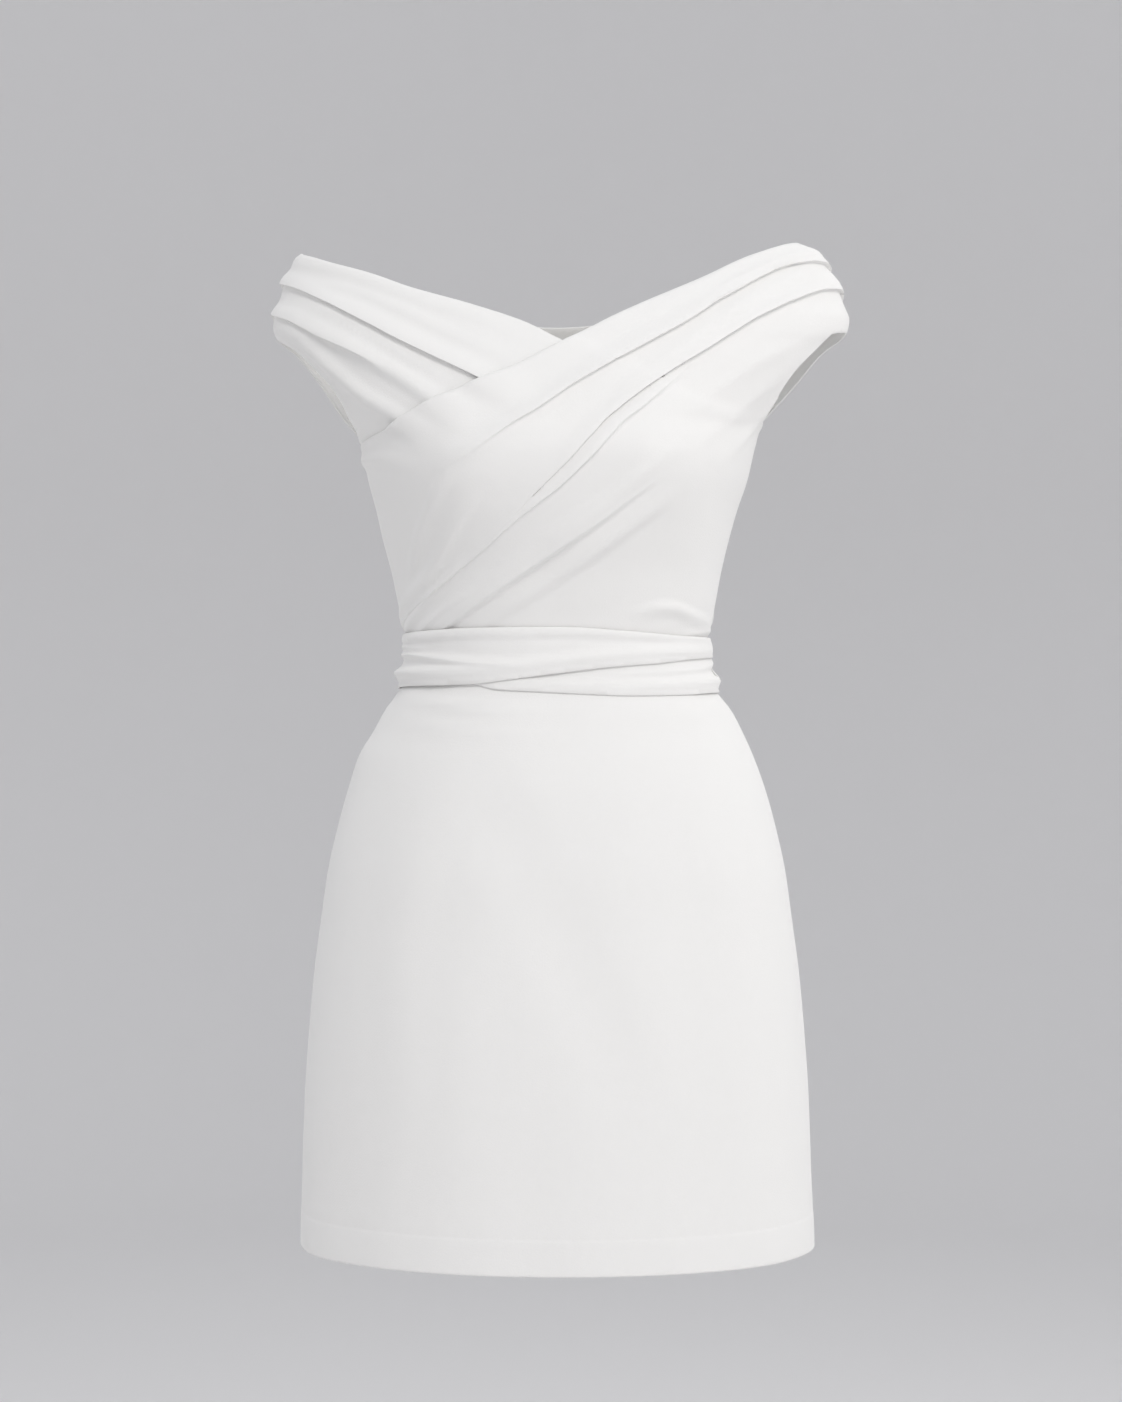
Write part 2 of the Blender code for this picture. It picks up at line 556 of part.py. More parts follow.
def rows_under_sash(face):
    """Level lines that keep the top of the skirt true to the worn shape under the sash."""
    return [level_line(face, drop, SKIRT_ROW_STEP)[1:-1] for drop in SKIRT_ROWS_UNDER_SASH]


def build_dress():
    """All eight pieces, from the inside out."""
    grid = field_grid()
    grid_around, grid_drop = grid[:, 0], grid[:, 1]

    under = under_outline(EDGE_STEP)
    lines = crisp_lines(FRONT, UNDER_FOLDS, EDGE_STEP) + rows_at_tight_curves(FRONT)
    pattern, faces = cut_piece(under, lines, FRONT_STEP, FRONT_STEP)
    lift = fold_heights(FRONT, UNDER_FOLDS, pattern[:, 0], pattern[:, 1])
    sew_piece("wrap_front_under", FRONT, -1, pattern, faces, lift)

    under_top = fold_heights(FRONT, UNDER_FOLDS, grid_around, grid_drop) + WALL + WRAP_GAP
    on_under = rest_height([(under_top, is_inside(grid, under))], 4)
    over = over_outline(EDGE_STEP)
    lines = crisp_lines(FRONT, OVER_FOLDS, EDGE_STEP) + rows_at_tight_curves(FRONT)
    pattern, faces = cut_piece(over, lines, FRONT_STEP, FRONT_STEP)
    folds = fold_heights(FRONT, OVER_FOLDS, pattern[:, 0], pattern[:, 1])
    lift = field_at(on_under, pattern[:, 0], pattern[:, 1]) + folds
    sew_piece("wrap_front_over", FRONT, -1, pattern, faces, lift)

    back = back_outline(BACK_EDGE_STEP)
    pattern, faces = cut_piece(back, crisp_lines(BACK, BACK_FOLDS, BACK_EDGE_STEP), BACK_STEP, BACK_STEP * 0.8)
    lift = fold_heights(BACK, BACK_FOLDS, pattern[:, 0], pattern[:, 1])
    lift += seam_rise(BACK, pattern[:, 0], pattern[:, 1])
    sew_piece("bodice_back", BACK, 1, pattern, faces, lift)

    skirt = skirt_outline(FRONT, HEM_FRONT)
    pattern, faces = cut_piece(skirt, rows_under_sash(FRONT), SKIRT_STEP_AROUND, SKIRT_STEP_DOWN)
    lift = fold_heights(FRONT, SKIRT_FOLDS, pattern[:, 0], pattern[:, 1])
    sew_piece("skirt_front", FRONT, -1, pattern, faces, lift)

    skirt = skirt_outline(BACK, HEM_BACK)
    pattern, faces = cut_piece(skirt, rows_under_sash(BACK), SKIRT_STEP_AROUND, SKIRT_STEP_DOWN)
    lift = seam_rise(BACK, pattern[:, 0], pattern[:, 1])
    sew_piece("skirt_back", BACK, 1, pattern, faces, lift)

    over_top = field_at(on_under, grid_around, grid_drop) + WALL + LAYER_GAP
    over_top += fold_heights(FRONT, OVER_FOLDS, grid_around, grid_drop)
    skirt_top = fold_heights(FRONT, SKIRT_FOLDS, grid_around, grid_drop) + WALL + LAYER_GAP
    on_waist = [(over_top, grid_drop <= WAIST_SEAM), (skirt_top, grid_drop > WAIST_SEAM)]
    on_bodice = rest_height(on_waist, 3)
    lower = band_outline(FRONT, SASH_LOWER_TOP, SASH_LOWER_BOTTOM, SASH_STEP)
    pattern, faces = cut_piece(lower, crisp_lines(FRONT, SASH_LOWER_FOLDS, SASH_STEP), SASH_STEP, SASH_STEP * 0.8)
    folds = fold_heights(FRONT, SASH_LOWER_FOLDS, pattern[:, 0], pattern[:, 1])
    lift = field_at(on_bodice, pattern[:, 0], pattern[:, 1]) + folds
    sew_piece("sash_lower", FRONT, -1, pattern, faces, lift)

    lower_top = field_at(on_bodice, grid_around, grid_drop) + WALL + LAYER_GAP
    lower_top += fold_heights(FRONT, SASH_LOWER_FOLDS, grid_around, grid_drop)
    on_lower = rest_height(on_waist + [(lower_top, is_inside(grid, lower))], 2)
    upper = band_outline(FRONT, SASH_UPPER_TOP, SASH_UPPER_BOTTOM, SASH_STEP)
    pattern, faces = cut_piece(upper, crisp_lines(FRONT, SASH_UPPER_FOLDS, SASH_STEP), SASH_STEP, SASH_STEP * 0.8)
    folds = fold_heights(FRONT, SASH_UPPER_FOLDS, pattern[:, 0], pattern[:, 1])
    lift = field_at(on_lower, pattern[:, 0], pattern[:, 1]) + folds
    sew_piece("sash_upper", FRONT, -1, pattern, faces, lift)

    back_top = fold_heights(BACK, BACK_FOLDS, grid_around, grid_drop) + WALL + LAYER_GAP
    back_top += seam_rise(BACK, grid_around, grid_drop)
    on_back = rest_height([(back_top, grid_drop > 0)], 3)
    outline = band_outline(BACK, SASH_BACK_TOP, SASH_BACK_BOTTOM, SASH_STEP)
    pattern, faces = cut_piece(outline, crisp_lines(BACK, SASH_BACK_FOLDS, SASH_STEP), SASH_STEP, SASH_STEP * 0.8)
    folds = fold_heights(BACK, SASH_BACK_FOLDS, pattern[:, 0], pattern[:, 1])
    lift = field_at(on_back, pattern[:, 0], pattern[:, 1]) + folds
    sew_piece("sash_back", BACK, 1, pattern, faces, lift)


for old in list(bpy.data.objects):
    bpy.data.objects.remove(old, do_unlink=True)
build_dress()
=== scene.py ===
# %% [markdown]
# # A white off-shoulder wrap dress, cut and worn
#
# The real dress is sewn from eight pieces of heavy white crepe: two wrap fronts that
# cross over the bust, a back, three sash bands and two skirt panels. It is worn, so
# every piece is cut flat on a pattern plane first, and then laid on the worn shape
# and lifted off it by its pleats and by whatever cloth lies below. Lengths in the
# tables are millimetres. A drop is the distance down from the shoulder line, z = 0.

# %% load the frame
import math
import bpy
import numpy as np
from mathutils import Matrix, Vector, kdtree
from mathutils.geometry import delaunay_2d_cdt


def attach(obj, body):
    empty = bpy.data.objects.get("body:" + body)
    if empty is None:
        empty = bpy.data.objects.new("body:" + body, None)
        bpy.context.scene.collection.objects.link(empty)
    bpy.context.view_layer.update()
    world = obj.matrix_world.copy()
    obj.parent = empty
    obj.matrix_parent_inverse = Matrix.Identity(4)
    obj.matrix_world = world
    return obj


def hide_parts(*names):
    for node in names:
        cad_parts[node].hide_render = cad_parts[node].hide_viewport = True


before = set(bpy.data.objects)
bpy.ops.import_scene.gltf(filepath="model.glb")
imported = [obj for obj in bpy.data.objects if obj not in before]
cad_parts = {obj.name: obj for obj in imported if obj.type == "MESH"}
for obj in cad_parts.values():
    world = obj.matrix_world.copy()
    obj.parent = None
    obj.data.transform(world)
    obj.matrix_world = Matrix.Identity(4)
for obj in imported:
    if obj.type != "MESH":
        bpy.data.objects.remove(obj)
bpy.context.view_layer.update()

# %% [markdown]
# ## The worn shape
#
# The dress keeps the hollow form of a general figure, one smooth shape. It is kept
# as level rings: half widths to each side, and the depth to the front and back.
# A cubic through the table rows gives rings at every height, with no overshoot, so
# the sides stay fair. The rings are a little squarer than an ellipse.

# %% rings of the worn shape
# Columns: drop, half width left, half width right, depth to the front, depth to the back
WORN_RINGS = (
    (-60, 150, 130, 30, 34),
    (-45, 172, 156, 37, 42),
    (-34, 185, 178, 43, 49),
    (-27, 190, 191, 47, 55),
    (-20, 196, 197, 51, 60),
    (-13, 200, 202, 55, 66),
    (-4, 204, 208, 60, 73),
    (4, 206, 210, 66, 80),
    (15, 209, 214, 74, 89),
    (23, 211, 217, 80, 94),
    (30, 211, 216, 84, 97),
    (37, 209, 213, 88, 100),
    (44, 205, 206, 92, 102),
    (58, 196, 195, 99, 105),
    (72, 184, 182, 105, 106),
    (87, 173, 168, 111, 106),
    (98, 164, 158, 115, 106),
    (107, 155, 149, 118, 105),
    (118, 145, 145, 122, 104),
    (130, 141, 142, 124, 102),
    (142, 139, 139, 123, 99),
    (165, 133, 131, 118, 94),
    (187, 128, 125, 110, 89),
    (214, 121, 119, 98, 83),
    (235, 117, 115, 91, 80),
    (248, 114, 112, 87, 78),
    (258, 110, 109, 85, 77),
    (266, 108, 108, 84, 77),
    (274, 108, 108, 84, 78),
    (281, 110, 110, 85, 79),
    (292, 113, 113, 88, 83),
    (303, 119, 118, 91, 87),
    (315, 128, 128, 95, 92),
    (330, 136, 136, 99, 98),
    (350, 148, 145, 105, 106),
    (375, 156, 154, 111, 114),
    (400, 163, 161, 115, 121),
    (436, 171, 169, 120, 127),
    (472, 176, 174, 123, 131),
    (510, 181, 179, 127, 132),
    (555, 185, 183, 131, 133),
    (600, 188, 186, 134, 134),
    (660, 190, 188, 137, 134),
    (716, 191, 190, 140, 135),
    (740, 191, 190, 141, 135),
)
RING_SQUARENESS = 2.3
BUST_SIDE, BUST_DROP, BUST_REACH, BUST_RISE = 82.0, 135.0, 40.0, 9.0
LEVELS = np.arange(-60.0, 741.0, 2.0)
SHARES = np.linspace(0.0, 1.0, 241)


def smooth_curve(xs, ys, at):
    """Values of a smooth curve through the points, with no overshoot between them."""
    xs, ys = np.asarray(xs, float), np.asarray(ys, float)
    gaps = np.diff(xs)
    slopes = np.diff(ys) / gaps
    same_way = slopes[:-1] * slopes[1:] > 0
    total = np.where(same_way, slopes[:-1] + slopes[1:], 1.0)
    tangents = np.zeros(len(xs))
    tangents[1:-1] = np.where(same_way, 2 * slopes[:-1] * slopes[1:] / total, 0.0)
    tangents[0], tangents[-1] = slopes[0], slopes[-1]
    at = np.clip(at, xs[0], xs[-1])
    left = np.clip(np.searchsorted(xs, at, "right") - 1, 0, len(xs) - 2)
    t = (at - xs[left]) / gaps[left]
    from_values = ys[left] * (1 + 2 * t) * (1 - t) ** 2 + ys[left + 1] * t * t * (3 - 2 * t)
    from_slopes = gaps[left] * (tangents[left] * t * (1 - t) ** 2 + tangents[left + 1] * t * t * (t - 1))
    return from_values + from_slopes


def worn_face(facing):
    """Points, outward normals and ring lengths of the front (-1) or back (+1) half."""
    table = np.array(WORN_RINGS, float)
    left, right, front, back = (smooth_curve(table[:, 0], table[:, i], LEVELS) for i in range(1, 5))
    depth = front if facing < 0 else back
    angle = np.linspace(0.0, np.pi, 721)
    points = np.zeros((len(LEVELS), len(SHARES), 3))
    lengths = np.zeros(len(LEVELS))
    for row, level in enumerate(LEVELS):
        half = np.where(angle < np.pi / 2, left[row], right[row])
        across = (np.abs(np.cos(angle)) / half) ** RING_SQUARENESS
        along = (np.sin(angle) / depth[row]) ** RING_SQUARENESS
        radius = (across + along) ** (-1 / RING_SQUARENESS)
        x, y = -radius * np.cos(angle), facing * radius * np.sin(angle)
        if facing < 0:
            away = ((np.abs(x) - BUST_SIDE) / BUST_REACH) ** 2 + ((level - BUST_DROP) / BUST_REACH) ** 2
            y = y - BUST_RISE * np.exp(-away)
        length = np.concatenate(([0.0], np.cumsum(np.hypot(np.diff(x), np.diff(y)))))
        lengths[row] = length[-1]
        points[row, :, 0] = np.interp(SHARES, length / length[-1], x)
        points[row, :, 1] = np.interp(SHARES, length / length[-1], y)
        points[row, :, 2] = -level
    normals = np.cross(np.gradient(points, axis=1), np.gradient(points, axis=0)) * facing
    normals /= np.linalg.norm(normals, axis=2, keepdims=True)
    return {"facing": facing, "points": points, "normals": normals, "lengths": lengths}


FRONT, BACK = worn_face(-1), worn_face(1)
WAIST_RING = int((266 - LEVELS[0]) / 2)
print("round the waist", round(FRONT["lengths"][WAIST_RING] + BACK["lengths"][WAIST_RING]), "mm")

# %% [markdown]
# ## The pattern plane
#
# A maker works on flat cloth, so each point of a piece has a flat place: how far round
# from the centre line, and how far down. The same two numbers later serve as the
# cloth's own coordinates for the weave. These helpers go from the flat place to the
# worn place, and from a place seen from the front back to the flat pattern.

# %% between the pattern and the worn cloth
def grid_value(grid, row, column):
    """Value of a regular grid between its rows and columns."""
    row = np.clip(row, 0, grid.shape[0] - 1.001)
    column = np.clip(column, 0, grid.shape[1] - 1.001)
    i, j = row.astype(int), column.astype(int)
    s, t = row - i, column - j
    if grid.ndim == 3:
        s, t = s[:, None], t[:, None]
    upper = grid[i, j] * (1 - t) + grid[i, j + 1] * t
    lower = grid[i + 1, j] * (1 - t) + grid[i + 1, j + 1] * t
    return upper * (1 - s) + lower * s


def half_length(face, drop):
    """Length of the front or back half ring at a drop."""
    return np.interp(drop, LEVELS, face["lengths"])


def lay_on_form(face, flat, lift):
    """Worn points, in millimetres, of flat pattern points lifted off the worn shape."""
    row = (flat[:, 1] - LEVELS[0]) / (LEVELS[1] - LEVELS[0])
    column = (0.5 + flat[:, 0] / half_length(face, flat[:, 1])) * (len(SHARES) - 1)
    normals = grid_value(face["normals"], row, column)
    normals /= np.linalg.norm(normals, axis=1, keepdims=True)
    return grid_value(face["points"], row, column) + normals * lift[:, None]


SEEN_LIFT = 3.2


def around_at(face, x, drop):
    """Pattern position of a point seen at x on the outside of the worn cloth."""
    row = int(round((drop - LEVELS[0]) / (LEVELS[1] - LEVELS[0])))
    seen = face["points"][row, :, 0] + face["normals"][row, :, 0] * SEEN_LIFT
    return (np.interp(x, seen, SHARES) - 0.5) * float(half_length(face, drop))


def trace(face, points, step):
    """A smooth pattern line through worn (x, drop, ...) points, about step mm between points."""
    table = np.array([(around_at(face, p[0], p[1]),) + tuple(p[1:]) for p in points], float)
    chord = np.concatenate(([0.0], np.cumsum(np.hypot(*np.diff(table[:, :2], axis=0).T))))
    at = np.linspace(0.0, chord[-1], max(2, int(round(chord[-1] / step)) + 1))
    return np.column_stack([smooth_curve(chord, column, at) for column in table.T])


def side_line(face, side, drop_from, drop_to, step):
    """The seam line at one side of the pattern, between two drops."""
    drop = np.linspace(drop_from, drop_to, max(2, int(round(abs(drop_to - drop_from) / step)) + 1))
    return np.column_stack([side * half_length(face, drop) / 2, drop])


def level_line(face, drop, step):
    """A level line from the left seam to the right seam."""
    length = float(half_length(face, drop))
    count = int(round(length / step)) + 1
    return np.column_stack([np.linspace(-0.5, 0.5, count) * length, np.full(count, drop)])


def is_inside(points, outline):
    """True for the points inside a closed outline."""
    x, y = points[:, 0:1], points[:, 1:2]
    x0, y0 = outline[:, 0], outline[:, 1]
    x1, y1 = np.roll(x0, -1), np.roll(y0, -1)
    rise = np.where(y1 == y0, 1.0, y1 - y0)
    crosses = ((y0 > y) != (y1 > y)) & (x < (x1 - x0) * (y - y0) / rise + x0)
    return crosses.sum(axis=1) % 2 == 1


# %% [markdown]
# ## Pleats and folds
#
# A pressed pleat swells gently towards its lip, then turns under itself: seen from
# the front that lip throws the thin dark line that draws the dress. Soft folds rise
# and sink evenly. Both are a crest line with a height that changes along it, and a
# reach to either side. For a pleat the cloth just below the lip is also drawn up
# under it, so the lip really overhangs. Each row is one fold, read off the photo.

# %% folds as rows
# Columns: name, reach above the crest, reach below it, crest as (x, drop, height) points.
# A reach below of less than CRISP_REACH makes a pressed pleat, and of less than SOFT_REACH a soft lip.
CRISP_REACH = 3.5
SOFT_REACH = 5.6
UNDER_FOLDS = (
    ("pleat_e", 17, 2.6, ((-230, -4, 3.6), (-197, 3, 3.6), (-162, 22, 3.8), (-119, 46, 4.0), (-66, 73, 3.6),
                          (-20, 98, 0.0))),
    ("pleat_f", 15, 2.8, ((-230, 19, 3.4), (-203, 26, 3.6), (-176, 41, 4.0), (-154, 52, 2.8),
                          (-130, 65, 0.0))),
    ("roll_f", 13, 9, ((-190, 34, 0.0), (-165, 46, 1.6), (-148, 55, 3.2), (-132, 64, 4.2), (-114, 75, 4.0),
                       (-90, 92, 2.6), (-60, 110, 0.0))),
    ("roll_by_armhole", 11, 9, ((-230, 30, 0.6), (-201, 36, 2.2), (-185, 48, 3.6), (-165, 66, 4.6),
                                (-142, 86, 4.6), (-116, 103, 3.6), (-95, 118, 0.0))),
    ("roll_by_neck", 8, 9, ((-230, -22, 1.4), (-161, -9, 1.6), (-109, 12, 1.6), (-64, 27, 1.0),
                            (0, 55, 0.0))),
    ("ease_below_neck", 7, 7, ((-190, -5, 0.0), (-140, 12, 1.0), (-90, 36, 0.9), (-20, 68, 0.0))),
    ("ease_above_f", 6, 6, ((-195, 10, 0.0), (-160, 30, 0.9), (-120, 54, 1.0), (-80, 80, 0.0))),
    ("armhole_hem", 4, 3, ((-205, 41, 0.0), (-180, 63, 0.8), (-160, 88, 0.8), (-148, 106, 0.0))),
)
OVER_FOLDS = (
    ("pleat_a", 18, 3.3, ((230, -14, 3.4), (202, -16, 3.4), (192, -16.5, 3.4), (181, -14.5, 3.4),
                          (164, -9, 3.6), (147, 0, 3.6), (130, 11, 3.8), (112, 22, 3.8), (96, 33, 3.8),
                          (81, 42, 3.8), (45, 63, 3.6), (11, 84, 3.0), (-18, 104, 2.2), (-41, 118, 1.4),
                          (-63, 131, 0.7), (-85, 143, 0.0))),
    ("soft_tail_a", 14, 9, ((70, 52, 0.0), (40, 70, 1.2), (11, 86, 2.0), (-18, 106, 3.0), (-41, 120, 3.2),
                            (-66, 133, 2.0), (-92, 145, 0.0))),
    ("ease_in_first_tier", 6, 5, ((205, -25, 0.8), (190, -24, 1.4), (164, -16, 1.6), (140, -5, 1.2),
                                  (110, 12, 0.0))),
    ("neck_edge_ease", 7, 8, ((200, -29, 0.0), (164, -25, 1.1), (134, -12, 1.1), (96, 10, 0.8),
                              (50, 36, 0.0))),
    ("soft_fold_above_b", 8, 6, ((207, -5, 0.8), (184, -4, 1.8), (160, 6, 2.6), (130, 25, 2.8),
                                 (98, 47, 2.4), (60, 74, 1.2), (30, 98, 0.0))),
    ("pleat_b", 14, 3.3, ((230, 4, 3.4), (211, 3, 3.4), (198, 5, 3.6), (187, 9.5, 3.8), (176, 15, 4.0),
                          (163, 21, 4.0), (151, 27, 4.0), (139, 34, 4.0), (112, 52, 3.8), (84, 70, 3.6),
                          (62, 86, 3.4), (42, 102, 3.2), (24, 120, 2.8), (6, 138, 2.3), (-12, 155, 1.7),
                          (-31, 173.5, 1.0), (-52, 194, 0.0))),
    ("pleat_c", 9, 3.2, ((99, 66, 0.0), (84, 80, 1.4), (62, 99, 2.4), (42, 117, 2.8), (22, 137, 2.7),
                         (1, 156, 2.3), (-30, 180, 1.7), (-66, 208, 1.3), (-92, 229, 1.2),
                         (-150, 258, 1.0))),
    ("ease_above_d", 8, 8, ((90, 122, 0.0), (60, 145, 1.6), (20, 174, 1.4), (-10, 194, 0.0))),
    ("pleat_d", 19, 3.9, ((74, 146, 0.0), (50, 163, 2.4), (26, 180, 4.2), (1, 196, 5.0), (-26, 214, 5.0),
                          (-58, 236, 4.0), (-90, 258, 1.6), (-112, 270, 0.0))),
    ("soft_fold_below_d", 15, 8, ((88, 155, 0.0), (59, 176, 3.0), (30, 197, 3.6), (-27, 235, 2.2),
                                  (-70, 262, 0.0))),
    ("faint_line_near_d", 6, 3.8, ((-60, 226, 0.0), (-78, 237, 0.9), (-100, 255, 0.9), (-118, 266, 0.0))),
    ("gather_left_waist", 12, 6, ((-56, 158, 0.0), (-78, 190, 2.8), (-96, 220, 3.0), (-140, 252, 1.2))),
    ("second_gather_left", 6, 5, ((-66, 200, 0.0), (-84, 222, 1.6), (-104, 246, 1.6), (-140, 262, 1.0))),
    ("streak_left_side", 10, 9, ((-74, 140, 0.0), (-88, 160, 2.2), (-101, 190, 2.2), (-112, 228, 0.0))),
    ("arc_right_waist", 4, 11, ((118, 252, 0.0), (103, 245, 2.4), (80, 238, 3.0), (62, 241, 1.2),
                                (50, 246, 0.0))),
    ("pinch_right_waist", 5, 5, ((150, 255, 1.4), (104, 257, 1.0), (88, 260, 0.0))),
    ("bulge_left_underarm", 9, 10, ((-230, 128, 3.0), (-125, 133, 1.4), (-98, 140, 0.0))),
    ("roll_right_armhole", 10, 9, ((204, 44, 0.0), (172, 74, 1.5), (150, 100, 1.7), (128, 126, 0.8),
                                   (104, 148, 0.0))),
    ("ray_high", 10, 9, ((196, 38, 0.0), (168, 50, 1.1), (140, 66, 1.4), (110, 88, 1.0), (86, 108, 0.0))),
    ("ray_from_armhole", 10, 9, ((178, 60, 0.0), (150, 82, 1.1), (120, 108, 1.0), (92, 130, 0.0))),
    ("armhole_hem_right", 4, 3, ((212, 33, 0.0), (186, 57, 0.8), (164, 84, 0.8), (153, 100, 0.0))),
)
BACK_FOLDS = (
    ("pleat_e_back", 17, 2.6, ((-230, -4, 3.6), (-180, 10, 3.0), (-120, 36, 1.8), (-60, 56, 0.0))),
    ("pleat_f_back", 15, 2.8, ((-230, 19, 3.4), (-178, 42, 2.8), (-118, 76, 1.6), (-60, 104, 0.0))),
    ("pleat_a_back", 18, 3.2, ((230, -14, 3.6), (180, 2, 3.0), (118, 28, 1.8), (50, 50, 0.0))),
    ("pleat_b_back", 14, 3.2, ((230, 5, 3.4), (178, 34, 2.8), (116, 70, 1.6), (56, 100, 0.0))),
    ("bulge_left_back", 9, 10, ((-230, 128, 3.0), (-125, 134, 1.2), (-104, 140, 0.0))),
    ("soft_fold_back_left", 16, 12, ((-150, 250, 1.2), (-96, 222, 1.8), (-44, 198, 0.0))),
    ("soft_fold_back_right", 15, 11, ((150, 248, 1.2), (92, 224, 1.7), (40, 204, 0.0))),
    ("soft_fold_back_low", 12, 10, ((-96, 262, 0.6), (-50, 244, 1.2), (-10, 236, 0.0))),
)
SASH_UPPER_FOLDS = (
    ("upper_rim_roll", 5, 6, ((-150, 261, 1.2), (-60, 258, 1.8), (0, 258, 1.8), (60, 260, 1.6),
                              (150, 265, 1.0))),
    ("upper_crease_left", 8, 3.6, ((-150, 276, 2.6), (-104, 277, 4.0), (-84, 280, 3.6), (-64, 282, 2.2),
                                   (-25, 285, 0.0))),
    ("upper_short_crease", 5, 3.6, ((-150, 268, 1.6), (-108, 268, 1.8), (-90, 271, 0.0))),
    ("lower_left_swell", 9, 7, ((-150, 291, 5.0), (-108, 291, 4.2), (-80, 290, 1.4), (-50, 289, 0.0))),
    ("upper_belly", 9, 8, ((-150, 290, 1.0), (-90, 290, 2.2), (-30, 285, 2.6), (30, 277, 2.4),
                           (150, 269, 1.6))),
)
SASH_LOWER_FOLDS = (
    ("lower_inner_edge", 6, 3.6, ((150, 281, 1.8), (97, 287, 2.0), (60, 289, 1.2), (15, 290, 0.0))),
    ("lower_right_swell", 10, 6, ((150, 295, 4.2), (106, 296, 3.4), (80, 297, 1.2), (50, 298, 0.0))),
    ("lower_belly", 6, 6, ((150, 297, 1.2), (80, 299, 2.4), (10, 297, 1.6), (-50, 293, 0.6))),
)
SASH_BACK_FOLDS = (
    ("back_fold_high", 9, 3.6, ((-150, 276, 2.6), (-60, 268, 2.4), (10, 266, 2.6), (150, 281, 1.8))),
    ("back_fold_low", 10, 7, ((-150, 291, 5.0), (-96, 288, 2.6), (-20, 287, 2.6), (70, 286, 2.4),
                              (150, 295, 4.2))),
    ("back_rim_roll", 5, 6, ((-150, 261, 1.2), (0, 257, 1.6), (150, 265, 1.0))),
    ("back_end_left", 8, 7, ((-150, 267, 2.4), (-106, 267, 2.2), (-74, 266, 0.0))),
    ("back_end_right", 6, 6, ((150, 270, 2.2), (104, 270, 2.0), (74, 269, 0.0))),
)
SKIRT_FOLDS = (
    ("pull_below_sash", 7, 11, ((-118, 304, 1.0), (-96, 308, 3.0), (-50, 314, 2.0), (-6, 317, 0.0))),
    ("second_pull", 8, 14, ((-124, 322, 0.0), (-90, 326, 1.8), (-40, 330, 1.2), (10, 332, 0.0))),
    ("right_pull", 8, 10, ((128, 306, 0.0), (112, 312, 1.4), (86, 324, 0.0))),
    ("swell_left_hip", 32, 34, ((-96, 372, 0.0), (-110, 430, 1.8), (-116, 490, 2.2), (-112, 600, 1.0),
                                (-110, 690, 0.0))),
    ("swell_right_hip", 32, 34, ((104, 360, 0.0), (118, 430, 1.6), (126, 520, 1.6), (124, 640, 0.8),
                                 (120, 695, 0.0))),
    ("dip_at_centre", 38, 40, ((-60, 345, 0.0), (-36, 405, -1.9), (-4, 470, -1.4), (38, 550, -1.8),
                               (60, 620, -0.6), (74, 665, 0.0))),
)
TUCK_ABOVE = 1.5
TUCK_SHARE = 0.4
TUCK_EASE = 11.0


def fold_effect(face, folds, flat):
    """Lift of all folds at the pattern points, and how far the cloth there is drawn under lips."""
    lift = np.zeros(len(flat))
    drawn = np.zeros((len(flat), 2))
    for _, above, below, crest in folds:
        line = trace(face, crest, 4.0)
        nearest = np.full(len(flat), 1e9)
        here = np.zeros(len(flat))
        under = np.zeros(len(flat), bool)
        towards = np.zeros((len(flat), 2))
        for a, b in zip(line[:-1], line[1:]):
            s = b[:2] - a[:2]
            t = np.clip((flat - a[:2]) @ s / (s @ s), 0, 1)
            gap = a[:2] + t[:, None] * s - flat
            distance = np.hypot(gap[:, 0], gap[:, 1])
            closer = distance < nearest
            nearest = np.where(closer, distance, nearest)
            here = np.where(closer, a[2] + (b[2] - a[2]) * t, here)
            towards = np.where(closer[:, None], gap, towards)
            is_below = (gap[:, 0] * s[1] - gap[:, 1] * s[0]) * np.sign(s[0]) > 0
            under = np.where(closer, is_below, under)
        reach = np.where(under, below, above)
        lift += here * 0.5 * (1 + np.cos(np.pi * np.minimum(nearest / reach, 1.0)))
        if below < CRISP_REACH:
            pull = (below + np.maximum(here - TUCK_ABOVE, 0) * TUCK_SHARE) * np.minimum(here / TUCK_ABOVE, 1)
            rising = np.minimum(nearest / below, 1.0)
            easing = 0.5 * (1 + np.cos(np.pi * np.clip((nearest - below) / TUCK_EASE, 0, 1)))
            amount = np.where(under, pull * rising * easing, 0.0)
            drawn += towards / np.maximum(nearest, 1e-6)[:, None] * amount[:, None]
    return lift, drawn


# %% [markdown]
# ## Cutting a piece and giving it thickness
#
# A cut piece is an outline filled with an even net of triangles. Extra rows of points
# follow each pleat, so its lip stays crisp while the rest stays soft. The worn cloth
# is a thin shell: outside, inside, and a half-round turned edge, because the edges
# of this dress are folded over and not raw.

# %% cutting and sewing
# Rows of points along a pleat: millimetres above its lip, shares of its reach below, millimetres past that.
ROWS_ABOVE = (6.0, 3.4, 1.5, 0.5, 0.0)
ROWS_BELOW = (0.3, 0.65, 1.0)
ROWS_PAST = (1.6, 4.5)
MERGE = 0.12
NET_ROOM = 0.6
SEAM_GAP = 0.08
CLOTH = 1.3
RIM_BULGE = 0.45
LAYER_GAP = 0.35
NET_ROWS = 0.87


